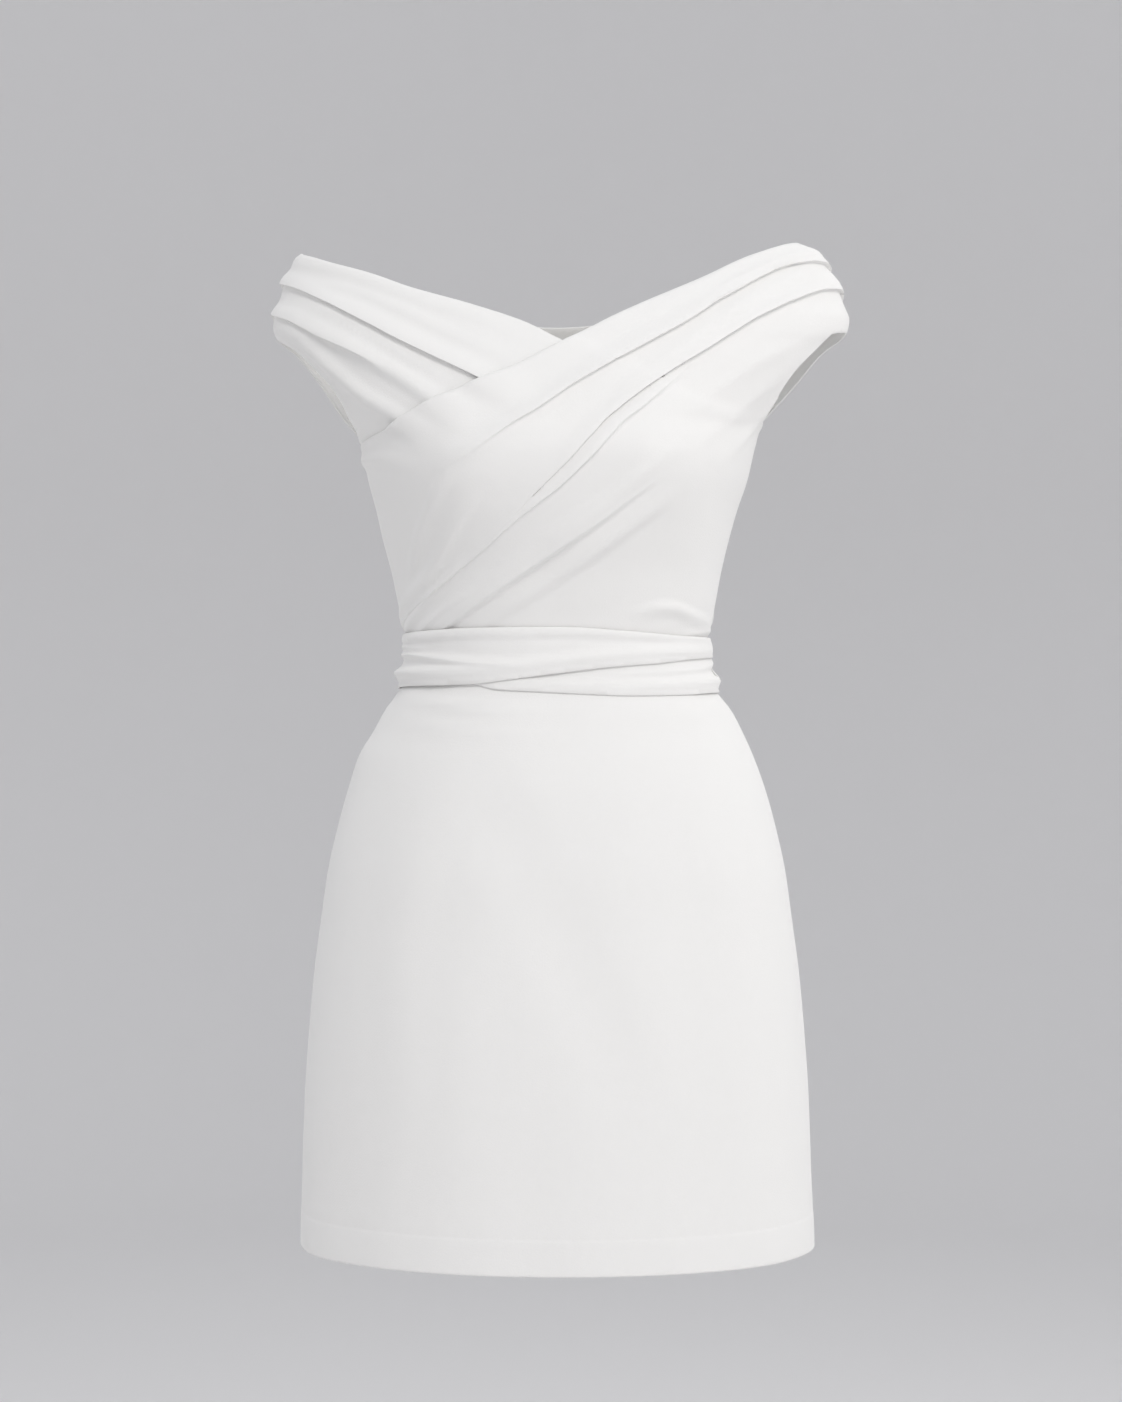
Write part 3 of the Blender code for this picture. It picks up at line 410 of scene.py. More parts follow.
def pleat_lines(face, folds, step):
    """Pattern lines that keep each pressed pleat crisp: rows above its lip, the lip, rows below."""
    lines = []
    for _, above, below, crest in folds:
        if below > SOFT_REACH:
            continue
        lip = trace(face, crest, step)[:, :2]
        lip = np.vstack([2 * lip[0] - lip[1], lip[1:-1], 2 * lip[-1] - lip[-2]])
        way = np.gradient(lip, axis=0)
        way /= np.linalg.norm(way, axis=1, keepdims=True)
        down = np.column_stack([-way[:, 1], way[:, 0]]) * np.sign(way[:, :1] + 1e-9)
        lines += [lip - down * row for row in ROWS_ABOVE]
        lines += [lip + down * (share * below) for share in ROWS_BELOW]
        lines += [lip + down * (below + past) for past in ROWS_PAST]
    return lines


def close_outline(face, lines):
    """One closed pattern outline from lines laid end to end, kept just clear of the side seams."""
    outline = np.vstack([line[:-1, :2] for line in lines])
    limit = half_length(face, outline[:, 1]) / 2 - SEAM_GAP
    outline[:, 0] = np.clip(outline[:, 0], -limit, limit)
    return outline


def cut_piece(outline, lines, step_around, step_down):
    """Pattern points and triangles of a piece: outline, pleat rows and an even net between."""
    low, high = outline.min(axis=0), outline.max(axis=0)
    rows = np.arange(np.floor(low[1] / step_down), np.ceil(high[1] / step_down) + 1)
    columns = np.arange(np.floor(low[0] / step_around) - 1, np.ceil(high[0] / step_around) + 1)
    net = np.array([((c + 0.5 * (r % 2)) * step_around, r * step_down) for r in rows for c in columns])
    scale = np.array([step_around, step_down])
    ring = np.vstack([outline, outline[:1]])
    fixed = np.vstack([line[:-1] + (line[1:] - line[:-1]) * t for line in [ring] + lines for t in (0, 0.5)])
    tree = kdtree.KDTree(len(fixed))
    for i, p in enumerate(fixed / scale):
        tree.insert((p[0], p[1], 0.0), i)
    tree.balance()
    net = net[is_inside(net, outline)]
    net = net[[tree.find((p[0], p[1], 0.0))[2] > NET_ROOM for p in net / scale]]
    points, total = [outline], len(outline)
    edges = [(i, (i + 1) % total) for i in range(total)]
    for line in lines:
        near = is_inside(line, outline)
        wide = near | np.concatenate((near[1:], [False])) | np.concatenate(([False], near[:-1]))
        kept = np.flatnonzero(wide)
        points.append(line[kept])
        edges += [(total + i, total + i + 1) for i in range(len(kept) - 1) if kept[i + 1] == kept[i] + 1]
        total += len(kept)
    points.append(net)
    made, _, faces, _, _, _ = delaunay_2d_cdt([Vector(p) for p in np.vstack(points)], edges, [], 0, MERGE)
    made, faces = np.array([tuple(v) for v in made]), np.array(faces)
    faces = faces[is_inside(made[faces].mean(axis=1), outline)]
    used = np.unique(faces)
    order = np.zeros(len(made), int)
    order[used] = np.arange(len(used))
    made, faces = made[used], order[faces]
    a, b, c = made[faces[:, 0]], made[faces[:, 1]], made[faces[:, 2]]
    turned = (b[:, 0] - a[:, 0]) * (c[:, 1] - a[:, 1]) - (b[:, 1] - a[:, 1]) * (c[:, 0] - a[:, 0]) < 0
    faces[turned] = faces[turned][:, ::-1]
    return made, faces


def point_normals(points, faces):
    """Outward normals of a net of triangles, averaged at its points."""
    a, b, c = points[faces[:, 0]], points[faces[:, 1]], points[faces[:, 2]]
    across = np.cross(b - a, c - a)
    normals = np.zeros_like(points)
    for k in range(3):
        np.add.at(normals, faces[:, k], across)
    return normals / np.maximum(np.linalg.norm(normals, axis=1, keepdims=True), 1e-12)


def sew_piece(name, face, flat, faces, lift, drawn):
    """A thin cloth shell on the worn shape, with a half-round turned edge and cloth coordinates."""
    if face["facing"] < 0:
        faces = faces[:, ::-1]
    outside = lay_on_form(face, flat + drawn, lift + CLOTH)
    normals = point_normals(outside, faces)
    inside = outside - normals * CLOTH
    directed = {(a, b) for f in faces.tolist() for a, b in zip(f, f[1:] + f[:1])}
    border = sorted((a, b) for a, b in directed if (b, a) not in directed)
    rim_of = {v: i for i, v in enumerate(sorted({v for pair in border for v in pair}))}
    out_of_edge = np.zeros((len(rim_of), 3))
    for a, b in border:
        away = np.cross(outside[b] - outside[a], normals[a])
        out_of_edge[rim_of[a]] += away
        out_of_edge[rim_of[b]] += away
    out_of_edge /= np.maximum(np.linalg.norm(out_of_edge, axis=1, keepdims=True), 1e-12)
    at_rim = np.array(sorted(rim_of))
    rim = (outside[at_rim] + inside[at_rim]) / 2 + out_of_edge * CLOTH * RIM_BULGE
    count = len(flat)
    walls = faces.tolist() + (faces[:, ::-1] + count).tolist()
    for a, b in border:
        ra, rb = 2 * count + rim_of[a], 2 * count + rim_of[b]
        walls += [[b, a, ra, rb], [rb, ra, a + count, b + count]]
    mesh = bpy.data.meshes.new(name)
    mesh.from_pydata((np.vstack([outside, inside, rim]) / 1000.0).tolist(), [], walls)
    mesh.shade_smooth()
    cloth_place = np.vstack([flat, flat, flat[at_rim]]) / 1000.0
    coordinates = mesh.uv_layers.new(name="cloth")
    corner = np.zeros(len(mesh.loops), int)
    mesh.loops.foreach_get("vertex_index", corner)
    coordinates.data.foreach_set("uv", cloth_place[corner].ravel())
    piece = bpy.data.objects.new(name, mesh)
    bpy.context.scene.collection.objects.link(piece)
    a, b, c = flat[faces[:, 0]], flat[faces[:, 1]], flat[faces[:, 2]]
    cut_area = float(np.abs(np.cross(b - a, c - a)).sum()) / 2 / 1e6
    width, length = (flat.max(axis=0) - flat.min(axis=0)) / 1000
    print(name, len(walls), "faces, cut", round(width, 3), "by", round(length, 3), "m,",
          round(cut_area, 3), "m2")
    return piece, (float(width), float(length)), cut_area


# %% [markdown]
# ## Cloth resting on cloth
#
# The over wrap lies on the under wrap, and the sash on both. A cloth bridges the
# hollows of the cloth below rather than following each pleat, so the resting height
# is the highest point nearby, softened. That keeps the layers apart by a hair and
# lets big shapes show through, as they do on the real dress.

# %% the resting field
FIELD_STEP = 2.0
WIDE_BRIDGE, BRIDGE, CLOSE_BRIDGE = 4, 3, 2
FIELD_AROUND = np.arange(-280.0, 280.1, FIELD_STEP)
FIELD_DROP = np.arange(-60.0, 340.1, FIELD_STEP)
GRID = np.column_stack([axis.ravel() for axis in np.meshgrid(FIELD_AROUND, FIELD_DROP)])


def rest_height(layers, spread):
    """The height at which the next cloth rests on (height, mask) layers, as a field."""
    top = np.zeros((len(FIELD_DROP), len(FIELD_AROUND)))
    for height, mask in layers:
        top = np.maximum(top, np.where(mask, height, 0.0).reshape(top.shape))
    for _ in range(spread):
        wide = top.copy()
        wide[1:] = np.maximum(wide[1:], top[:-1])
        wide[:-1] = np.maximum(wide[:-1], top[1:])
        wide[:, 1:] = np.maximum(wide[:, 1:], top[:, :-1])
        wide[:, :-1] = np.maximum(wide[:, :-1], top[:, 1:])
        top = wide
    for _ in range(spread + 2):
        padded = np.pad(top, 1, mode="edge")
        beside = padded[:-2, 1:-1] + padded[2:, 1:-1] + padded[1:-1, :-2] + padded[1:-1, 2:]
        top = 0.2 * (padded[1:-1, 1:-1] + beside)
    return top


def field_at(field, flat):
    """The field's value at pattern points."""
    row = (flat[:, 1] - FIELD_DROP[0]) / FIELD_STEP
    column = (flat[:, 0] - FIELD_AROUND[0]) / FIELD_STEP
    return grid_value(field, row, column)


# %% [markdown]
# ## A little life in flat cloth
#
# No worn cloth is perfectly smooth. A few slow waves, some long and some short, of
# well under a millimetre, break up the highlights of cloth that has been worn.

# %% slow waves
# Columns: waves per metre around, waves per metre down, height in mm, start
SLOW_WAVES = (
    (7.0, 3.0, 0.22, 0.4),
    (-11.0, 6.0, 0.14, 1.9),
    (4.0, 12.0, 0.12, 3.1),
    (19.0, -8.0, 0.06, 4.4),
)
SKIRT_WAVES = (
    (9.0, 1.2, 0.35, 0.9),
    (14.0, -2.0, 0.22, 2.6),
    (23.0, 3.5, 0.08, 5.2),
)


def wave_height(waves, flat):
    """Height of the slow waves at pattern points."""
    height = np.zeros(len(flat))
    for around, down, size, start in waves:
        height += size * np.sin(2 * np.pi * (around * flat[:, 0] + down * flat[:, 1]) / 1000 + start)
    return height


# %% [markdown]
# ## The wrap fronts
#
# The under wrap runs from the left shoulder down to the right side, with two pressed
# pleats. The over wrap runs from the right shoulder to the left side, and its pleats
# fan out across the bust and gather again at the left of the waist. Both are cut to
# the waist seam, so the lap below the crossing is double, as on the real garment.

# %% edges of the bodice pieces
UNDER_NECK = ((-230, -26), (-185, -21.5), (-167, -15), (-141, -7), (-109, 6), (-64, 20), (-29, 32), (0, 47))
UNDER_NECK_HIDDEN = ((0, 47), (50, 74), (100, 98), (230, 118))
UNDER_ARMHOLE = ((-230, 35), (-197, 48), (-183, 61), (-170, 77), (-160, 93), (-150, 107), (-230, 118))
OVER_NECK_HIGH = ((230, -34), (171, -31), (143, -20), (100, 1), (43, 28), (1, 51))
OVER_NECK_LOW = ((1, 51), (-35, 70), (-59, 80), (-95, 95), (-113, 104), (-125, 111), (-230, 120))
OVER_ARMHOLE = ((230, 32), (205, 36), (194, 46), (184, 56), (173, 69), (163, 82), (154, 96), (230, 107))
BACK_NECK = ((-230, -26), (-184, -24), (-150, -10), (-112, 3), (-75, 12), (0, 19), (75, 10), (140, -10),
             (176, -28), (230, -34))
BACK_ARMHOLE_LEFT = ((-230, 35), (-203, 44), (-190, 58), (-177, 76), (-163, 96), (-148, 111), (-230, 118))
BACK_ARMHOLE_RIGHT = ((230, 32), (208, 40), (195, 52), (182, 68), (166, 86), (153, 101), (230, 107))
WAIST_SEAM = 279.0
SKIRT_TOP = 279.4
FINE_NET = 2.8
EDGE_NET = 3.0

under_outline = close_outline(FRONT, [
    trace(FRONT, UNDER_NECK, EDGE_NET),
    trace(FRONT, UNDER_NECK_HIDDEN, EDGE_NET),
    side_line(FRONT, 1, UNDER_NECK_HIDDEN[-1][1], WAIST_SEAM, EDGE_NET),
    level_line(FRONT, WAIST_SEAM, EDGE_NET)[::-1],
    side_line(FRONT, -1, WAIST_SEAM, UNDER_ARMHOLE[-1][1], EDGE_NET),
    trace(FRONT, UNDER_ARMHOLE, EDGE_NET)[::-1],
    side_line(FRONT, -1, UNDER_ARMHOLE[0][1], UNDER_NECK[0][1], EDGE_NET),
])
over_outline = close_outline(FRONT, [
    trace(FRONT, OVER_NECK_HIGH, EDGE_NET),
    trace(FRONT, OVER_NECK_LOW, EDGE_NET),
    side_line(FRONT, -1, OVER_NECK_LOW[-1][1], WAIST_SEAM, EDGE_NET),
    level_line(FRONT, WAIST_SEAM, EDGE_NET),
    side_line(FRONT, 1, WAIST_SEAM, OVER_ARMHOLE[-1][1], EDGE_NET),
    trace(FRONT, OVER_ARMHOLE, EDGE_NET)[::-1],
    side_line(FRONT, 1, OVER_ARMHOLE[0][1], OVER_NECK_HIGH[0][1], EDGE_NET),
])

# %% under wrap
flat, faces = cut_piece(under_outline, pleat_lines(FRONT, UNDER_FOLDS, EDGE_NET), FINE_NET, FINE_NET * NET_ROWS)
folds, drawn = fold_effect(FRONT, UNDER_FOLDS, flat)
under, under_size, under_area = sew_piece(
    "under_wrap", FRONT, flat, faces, folds + wave_height(SLOW_WAVES, flat), drawn)

# %% over wrap
grid_folds, _ = fold_effect(FRONT, UNDER_FOLDS, GRID)
under_top = grid_folds + wave_height(SLOW_WAVES, GRID) + CLOTH + LAYER_GAP
on_under = rest_height([(under_top, is_inside(GRID, under_outline))], WIDE_BRIDGE)
flat, faces = cut_piece(over_outline, pleat_lines(FRONT, OVER_FOLDS, EDGE_NET), FINE_NET, FINE_NET * NET_ROWS)
folds, drawn = fold_effect(FRONT, OVER_FOLDS, flat)
over, over_size, over_area = sew_piece("over_wrap", FRONT, flat, faces, field_at(on_under, flat) + folds, drawn)

# %% [markdown]
# ## The back
#
# The photo doesn't show the back, so it is finished plainly: one piece from shoulder
# band to shoulder band. The shoulder pleats run over the seam and fade out towards
# the centre, and a few soft folds gather at the waist, as on the front. At the side
# seams it rises a little, because two layers of the front are sewn in there.

# %% back bodice
BACK_NET, BACK_NET_DOWN = 4.2, 3.7
SEAM_STACK = CLOTH + LAYER_GAP
SEAM_STACK_FROM, SEAM_STACK_TO, SEAM_STACK_REACH, SEAM_STACK_FADE = 100.0, 300.0, 34.0, 20.0


def seam_rise(face, flat):
    """How far the back rises near the side seams, to meet the doubled front."""
    inward = half_length(face, flat[:, 1]) / 2 - np.abs(flat[:, 0])
    near = 0.5 * (1 + np.cos(np.pi * np.clip(inward / SEAM_STACK_REACH, 0, 1)))
    below = np.clip((flat[:, 1] - SEAM_STACK_FROM) / SEAM_STACK_FADE, 0, 1)
    above = np.clip((SEAM_STACK_TO - flat[:, 1]) / SEAM_STACK_FADE, 0, 1)
    return SEAM_STACK * near * below * above


back_outline = close_outline(BACK, [
    trace(BACK, BACK_NECK, EDGE_NET),
    side_line(BACK, 1, BACK_NECK[-1][1], BACK_ARMHOLE_RIGHT[0][1], EDGE_NET),
    trace(BACK, BACK_ARMHOLE_RIGHT, EDGE_NET),
    side_line(BACK, 1, BACK_ARMHOLE_RIGHT[-1][1], WAIST_SEAM, EDGE_NET),
    level_line(BACK, WAIST_SEAM, EDGE_NET)[::-1],
    side_line(BACK, -1, WAIST_SEAM, BACK_ARMHOLE_LEFT[-1][1], EDGE_NET),
    trace(BACK, BACK_ARMHOLE_LEFT, EDGE_NET)[::-1],
    side_line(BACK, -1, BACK_ARMHOLE_LEFT[0][1], BACK_NECK[0][1], EDGE_NET),
])
flat, faces = cut_piece(back_outline, pleat_lines(BACK, BACK_FOLDS, EDGE_NET), BACK_NET, BACK_NET_DOWN)
folds, drawn = fold_effect(BACK, BACK_FOLDS, flat)
back_lift = folds + seam_rise(BACK, flat) + wave_height(SLOW_WAVES, flat)
back, back_size, back_area = sew_piece("back_bodice", BACK, flat, faces, back_lift, drawn)

# %% [markdown]
# ## The skirt
#
# Two plain panels widen from the waist over the hips and then fall almost straight.
# The hem is turned up about 25 mm and blind-stitched, which shows only as a faint
# step in the cloth where the doubled hem begins, with tiny dimples where the thread
# catches the outside.

# %% skirt panels
HEM_FRONT = ((-230, 712), (-135, 714), (0, 716), (145, 715), (230, 713))
HEM_BACK = ((-230, 712), (0, 714), (230, 713))
HEM_TURN = 25.0
HEM_STEP, HEM_STEP_UP, HEM_STEP_OVER = 0.24, 0.6, 1.4
STITCH_PITCH, STITCH_DIMPLE, STITCH_WIDTH = 9.0, 0.18, 0.9
WAVES_FROM, WAVES_OVER, WAVES_OFF_SEAM = 320, 140, 30
SKIRT_NET = 6.0
SKIRT_NET_ROWS = 0.9
# Rows of points along the hem: millimetres off the top of its turn, and one just above its edge.
HEM_ROWS = (1.6, HEM_STEP_UP, -0.4, -1.6)
HEM_EDGE_ROW = 1.2


def skirt_outline(face, hem):
    """The closed outline of a skirt panel down to its hem line."""
    return close_outline(face, [
        level_line(face, SKIRT_TOP, SKIRT_NET),
        side_line(face, 1, SKIRT_TOP, hem[-1][1], SKIRT_NET),
        trace(face, hem, SKIRT_NET)[::-1],
        side_line(face, -1, hem[0][1], SKIRT_TOP, SKIRT_NET),
    ])


def hem_drop(face, hem, around):
    """Drop of the hem edge at pattern positions."""
    line = trace(face, hem, SKIRT_NET)
    return np.interp(around, line[:, 0], line[:, 1])


def hem_rows(face, hem):
    """Pattern rows that keep the step at the top of the turned hem sharp."""
    line = trace(face, hem, 3.0)[1:-1, :2]
    return [line - (0, HEM_TURN + more) for more in HEM_ROWS] + [line - (0, HEM_EDGE_ROW)]


def skirt_lift(face, hem, flat, folds):
    """Lift of a skirt panel: waves that fade in below the sash, folds, and the doubled hem."""
    below_sash = np.clip((flat[:, 1] - WAVES_FROM) / WAVES_OVER, 0, 1)
    off_seam = half_length(face, flat[:, 1]) / 2 - np.abs(flat[:, 0])
    away = np.clip(off_seam / WAVES_OFF_SEAM, 0, 1)
    up = hem_drop(face, hem, flat[:, 0]) - flat[:, 1]
    doubled = np.clip((HEM_TURN + HEM_STEP_UP - up) / HEM_STEP_OVER, 0, 1)
    stitch = np.exp(-((up - HEM_TURN - HEM_STEP_UP) / STITCH_WIDTH) ** 2)
    stitch *= 0.5 + 0.5 * np.cos(2 * np.pi * flat[:, 0] / STITCH_PITCH)
    lift = wave_height(SKIRT_WAVES, flat) * below_sash * away
    return lift + HEM_STEP * doubled - STITCH_DIMPLE * stitch + folds


flat, faces = cut_piece(
    skirt_outline(FRONT, HEM_FRONT), hem_rows(FRONT, HEM_FRONT), SKIRT_NET, SKIRT_NET * SKIRT_NET_ROWS)
folds, drawn = fold_effect(FRONT, SKIRT_FOLDS, flat)
skirt_front, front_size, front_area = sew_piece(
    "front_skirt", FRONT, flat, faces, skirt_lift(FRONT, HEM_FRONT, flat, folds), drawn)

flat, faces = cut_piece(
    skirt_outline(BACK, HEM_BACK), hem_rows(BACK, HEM_BACK), SKIRT_NET, SKIRT_NET * SKIRT_NET_ROWS)
rear_lift = skirt_lift(BACK, HEM_BACK, flat, seam_rise(BACK, flat))
skirt_back, rear_size, rear_area = sew_piece("back_skirt", BACK, flat, faces, rear_lift, np.zeros_like(flat))

# %% [markdown]
# ## The sash
#
# Two soft bands cross at the left of the waist: the upper one sweeps from low on the
# left to high on the right, over the lower one. They are thicker than the bodice,
# gathered at the side seams, and their rolled edges hide the waist seam. A third
# band carries the sash round the back.

# %% sash bands
SASH_UPPER_TOP = ((-150, 258), (-110, 256), (-54, 254), (0, 254), (54, 257), (88, 260), (150, 261))
SASH_UPPER_BOTTOM = ((-150, 300), (-63, 297), (-29, 293), (37, 285), (71, 282), (97, 279), (150, 277))
SASH_LOWER_TOP = ((-150, 264), (-60, 264), (0, 267), (60, 270), (150, 272))
SASH_LOWER_BOTTOM = ((-150, 292), (-63, 296), (-46, 300), (-12, 302), (62, 305), (150, 303))
SASH_BACK_TOP = ((-150, 258), (0, 252), (150, 261))
SASH_BACK_BOTTOM = ((-150, 300), (0, 300), (150, 303))
SASH_NET = 2.6


def band_outline(face, top, bottom):
    """The closed outline of a sash band between its top and bottom lines."""
    return close_outline(face, [
        trace(face, top, SASH_NET),
        side_line(face, 1, top[-1][1], bottom[-1][1], SASH_NET),
        trace(face, bottom, SASH_NET)[::-1],
        side_line(face, -1, bottom[0][1], top[0][1], SASH_NET),
    ])


def sew_band(name, face, outline, folds, resting):
    """A sash band laid on the cloth below it."""
    flat, faces = cut_piece(outline, pleat_lines(face, folds, SASH_NET), SASH_NET, SASH_NET * NET_ROWS)
    height, drawn = fold_effect(face, folds, flat)
    return sew_piece(name, face, flat, faces, field_at(resting, flat) + height, drawn)


over_folds, _ = fold_effect(FRONT, OVER_FOLDS, GRID)
skirt_folds, _ = fold_effect(FRONT, SKIRT_FOLDS, GRID)
over_top = field_at(on_under, GRID) + over_folds + CLOTH + LAYER_GAP
skirt_top = skirt_folds + CLOTH + LAYER_GAP
at_waist = [(over_top, GRID[:, 1] <= WAIST_SEAM), (skirt_top, GRID[:, 1] > WAIST_SEAM)]
on_bodice = rest_height(at_waist, BRIDGE)
lower_outline = band_outline(FRONT, SASH_LOWER_TOP, SASH_LOWER_BOTTOM)
sash_lower, lower_size, lower_area = sew_band("lower_sash", FRONT, lower_outline, SASH_LOWER_FOLDS, on_bodice)

lower_folds, _ = fold_effect(FRONT, SASH_LOWER_FOLDS, GRID)
lower_top = field_at(on_bodice, GRID) + lower_folds + CLOTH + LAYER_GAP
on_lower = rest_height(at_waist + [(lower_top, is_inside(GRID, lower_outline))], CLOSE_BRIDGE)
upper_outline = band_outline(FRONT, SASH_UPPER_TOP, SASH_UPPER_BOTTOM)
sash_upper, upper_size, upper_area = sew_band("upper_sash", FRONT, upper_outline, SASH_UPPER_FOLDS, on_lower)

back_folds, _ = fold_effect(BACK, BACK_FOLDS, GRID)
back_top = back_folds + seam_rise(BACK, GRID) + wave_height(SLOW_WAVES, GRID) + CLOTH + LAYER_GAP
on_back = rest_height([(back_top, GRID[:, 1] > 0)], BRIDGE)
back_band = band_outline(BACK, SASH_BACK_TOP, SASH_BACK_BOTTOM)
sash_back, around_size, around_area = sew_band("back_sash", BACK, back_band, SASH_BACK_FOLDS, on_back)

# %% [markdown]
# ## White crepe
#
# The cloth is a heavy matt crepe in a slightly warm white, with a very fine diagonal
# grain. It scatters light softly and shows a faint bloom at grazing angles. The grain
# is a bump in the cloth's own coordinates, so it turns with each piece; it is drawn
# about twice as coarse as real so that it survives at this picture size.

# %% material
def linear(hex_colour):
    """Scene colour from an sRGB hex code."""
    parts = [int(hex_colour[i:i + 2], 16) / 255 for i in (1, 3, 5)]
    return tuple(p / 12.92 if p <= 0.04045 else ((p + 0.055) / 1.055) ** 2.4 for p in parts) + (1.0,)


def add_node(material, kind, values=(), **settings):
    """One node with its settings and input values."""
    node = material.node_tree.nodes.new(kind)
    for key, value in settings.items():
        setattr(node, key, value)
    for key, value in values:
        node.inputs[key].default_value = value
    return node


def white_crepe():
    """Matt warm-white crepe with a fine diagonal grain and an uneven crepe surface."""
    material = bpy.data.materials.new("white_crepe_cloth")
    material.use_nodes = True
    shader = material.node_tree.nodes["Principled BSDF"]
    shader.inputs["Base Color"].default_value = linear("#EFEEEC")
    shader.inputs["Roughness"].default_value = 0.82
    shader.inputs["Metallic"].default_value = 0.0
    shader.inputs["IOR"].default_value = 1.45
    shader.inputs["Sheen Weight"].default_value = 0.12
    shader.inputs["Sheen Roughness"].default_value = 0.5
    link = material.node_tree.links.new
    place = add_node(material, "ShaderNodeUVMap", uv_map="cloth")
    grain = add_node(material, "ShaderNodeTexWave", [("Scale", 250.0), ("Distortion", 2.2), ("Detail", 2.0),
                     ("Detail Scale", 2.0)], wave_type="BANDS", bands_direction="DIAGONAL")
    crinkle = add_node(material, "ShaderNodeTexNoise", [("Scale", 700.0), ("Detail", 3.0),
    ("Roughness", 0.65)])
    link(place.outputs["UV"], grain.inputs["Vector"])
    link(place.outputs["UV"], crinkle.inputs["Vector"])
    fine = add_node(material, "ShaderNodeBump", [("Strength", 0.12), ("Distance", 0.0002)])
    rough = add_node(material, "ShaderNodeBump", [("Strength", 0.3), ("Distance", 0.0004)])
    link(grain.outputs["Fac"], fine.inputs["Height"])
    link(crinkle.outputs["Fac"], rough.inputs["Height"])
    link(fine.outputs["Normal"], rough.inputs["Normal"])
    link(rough.outputs["Normal"], shader.inputs["Normal"])
    return material


crepe = white_crepe()

# %% dress the pieces
# Columns: piece, node it stands for, how it is held, cut size, cut area
SEWN = (
    (under, "wrap_front_under", "gathered", under_size, under_area),
    (over, "wrap_front_over", "gathered", over_size, over_area),
    (back, "bodice_back", "hung", back_size, back_area),
    (skirt_front, "skirt_front", "hung", front_size, front_area),
    (skirt_back, "skirt_back", "hung", rear_size, rear_area),
    (sash_lower, "sash_lower", "gathered", lower_size, lower_area),
    (sash_upper, "sash_upper", "gathered", upper_size, upper_area),
    (sash_back, "sash_back", "gathered", around_size, around_area),
)
for piece, node, held, size, area in SEWN:
    piece.data.materials.append(crepe)
    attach(piece, "root")
    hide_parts(node)

# %% [markdown]
# ## Studio, camera and light
#
# The photo has a plain pale grey studio behind a level camera in front of the waist.
# The round sweep stands on every side, so the other views see the same studio. A
# large soft key stands high at the right of the camera, weak ones fill the left and
# the back, and the studio's own walls do the rest.

# %% studio
SWEEP_RADIUS = 5.5
SWEEP_HEIGHT = 5.0
SWEEP_FILLET = 1.5
FLOOR_BELOW_HEM = 0.62
floor_z = -0.716 - FLOOR_BELOW_HEM


def studio_sweep():
    """A round floor that curves up into a wall all round."""
    turn = [math.pi / 2 * i / 12 for i in range(13)]
    profile = [(0.0, 0.0)] + [(SWEEP_RADIUS - SWEEP_FILLET + SWEEP_FILLET * math.sin(a),
                               SWEEP_FILLET - SWEEP_FILLET * math.cos(a)) for a in turn]
    profile.append((SWEEP_RADIUS, SWEEP_HEIGHT))
    count = 96
    points = [(r * math.cos(2 * math.pi * k / count), r * math.sin(2 * math.pi * k / count), floor_z + z)
              for r, z in profile[1:] for k in range(count)]
    centre = len(points)
    points.append((0.0, 0.0, floor_z))
    rings = len(profile) - 1
    walls = []
    for r in range(rings - 1):
        inner, outer = r * count, (r + 1) * count
        for k in range(count):
            beside = (k + 1) % count
            walls.append((inner + k, outer + k, outer + beside, inner + beside))
    walls += [(centre, k, (k + 1) % count) for k in range(count)]
    mesh = bpy.data.meshes.new("studio")
    mesh.from_pydata(points, [], walls)
    mesh.shade_smooth()
    sweep = bpy.data.objects.new("studio", mesh)
    bpy.context.scene.collection.objects.link(sweep)
    paper = bpy.data.materials.new("studio_paper")
    paper.use_nodes = True
    shader = paper.node_tree.nodes["Principled BSDF"]
    shader.inputs["Base Color"].default_value = linear("#E2E1E1")
    shader.inputs["Roughness"].default_value = 0.9
    mesh.materials.append(paper)
    return sweep


studio_sweep()

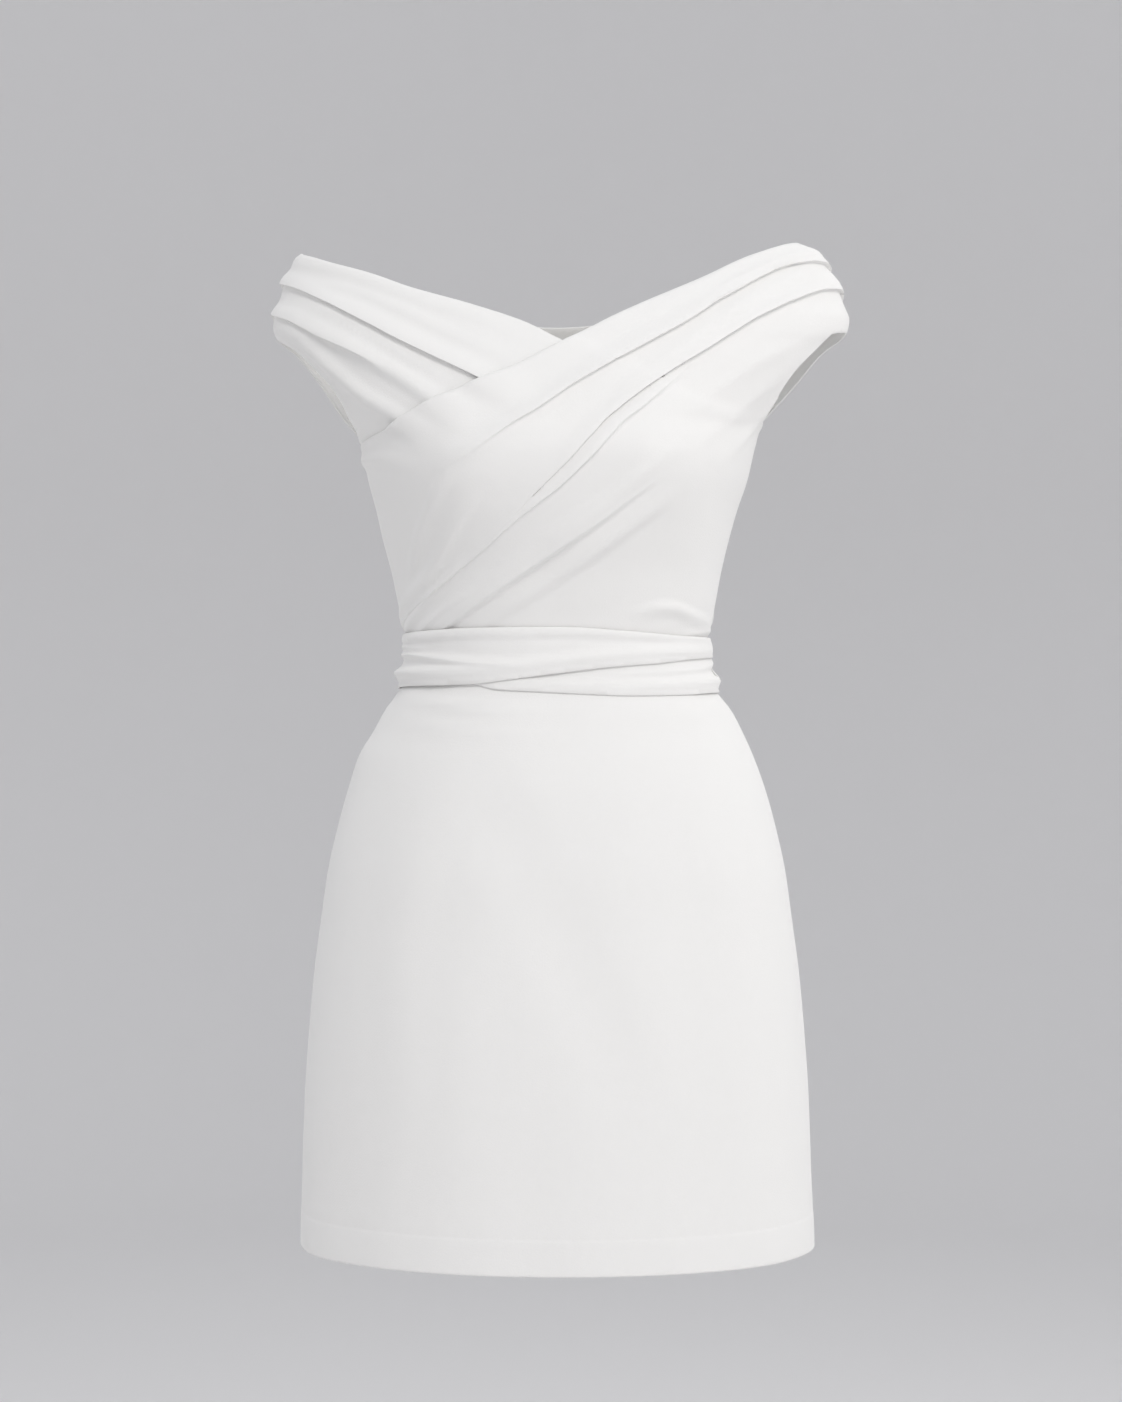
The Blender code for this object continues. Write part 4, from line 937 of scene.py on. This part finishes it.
# %% light
# Columns: name, place, size, power, colour
SOFT_LIGHTS = (
    ("key", (0.8, -2.4, 1.7), 1.2, 31.5, "#FFFDFA"),
    ("side", (2.5, -1.5, 0.1), 1.5, 11.0, "#FFFFFF"),
    ("fill", (-0.6, -2.8, -0.6), 1.3, 5.5, "#F8FAFF"),
    ("rim_left", (-1.9, 1.0, 0.1), 0.9, 5.0, "#FFFFFF"),
    ("rim_right", (1.9, 1.0, 0.1), 0.9, 7.0, "#FFFFFF"),
    ("high_back", (0.7, 2.2, 2.0), 1.2, 9.0, "#FFFDFA"),
)
AIM = Vector((0.0, 0.0, -0.3))
for name, place, size, power, colour in SOFT_LIGHTS:
    lamp = bpy.data.lights.new(name, "AREA")
    lamp.energy, lamp.size, lamp.color = power, size, linear(colour)[:3]
    holder = bpy.data.objects.new(name, lamp)
    holder.location = place
    holder.rotation_mode = "QUATERNION"
    holder.rotation_quaternion = (AIM - Vector(place)).to_track_quat("-Z", "Y")
    bpy.context.scene.collection.objects.link(holder)

world = bpy.data.worlds.new("studio_air")
world.use_nodes = True
world.node_tree.nodes["Background"].inputs["Color"].default_value = linear("#F2F4F8")
world.node_tree.nodes["Background"].inputs["Strength"].default_value = 0.86
bpy.context.scene.world = world
bpy.context.scene.view_settings.view_transform = "Standard"

# %% camera
MM_PER_PIXEL = 0.75
PICTURE = (1122, 1402)
CENTRE_PIXEL = (558.0, 290.0)
CAMERA_AWAY = 2.5
camera_data = bpy.data.cameras.new("camera")
camera_data.sensor_width = 36.0
camera_data.lens = 36.0 * CAMERA_AWAY / (PICTURE[1] * MM_PER_PIXEL / 1000)
camera = bpy.data.objects.new("camera", camera_data)
camera.location = ((PICTURE[0] / 2 - CENTRE_PIXEL[0]) * MM_PER_PIXEL / 1000, -CAMERA_AWAY,
                   -(PICTURE[1] / 2 - CENTRE_PIXEL[1]) * MM_PER_PIXEL / 1000)
camera.rotation_euler = (math.pi / 2, 0.0, 0.0)
bpy.context.scene.collection.objects.link(camera)
bpy.context.scene.camera = camera
print("lens", round(camera_data.lens, 1), "mm")
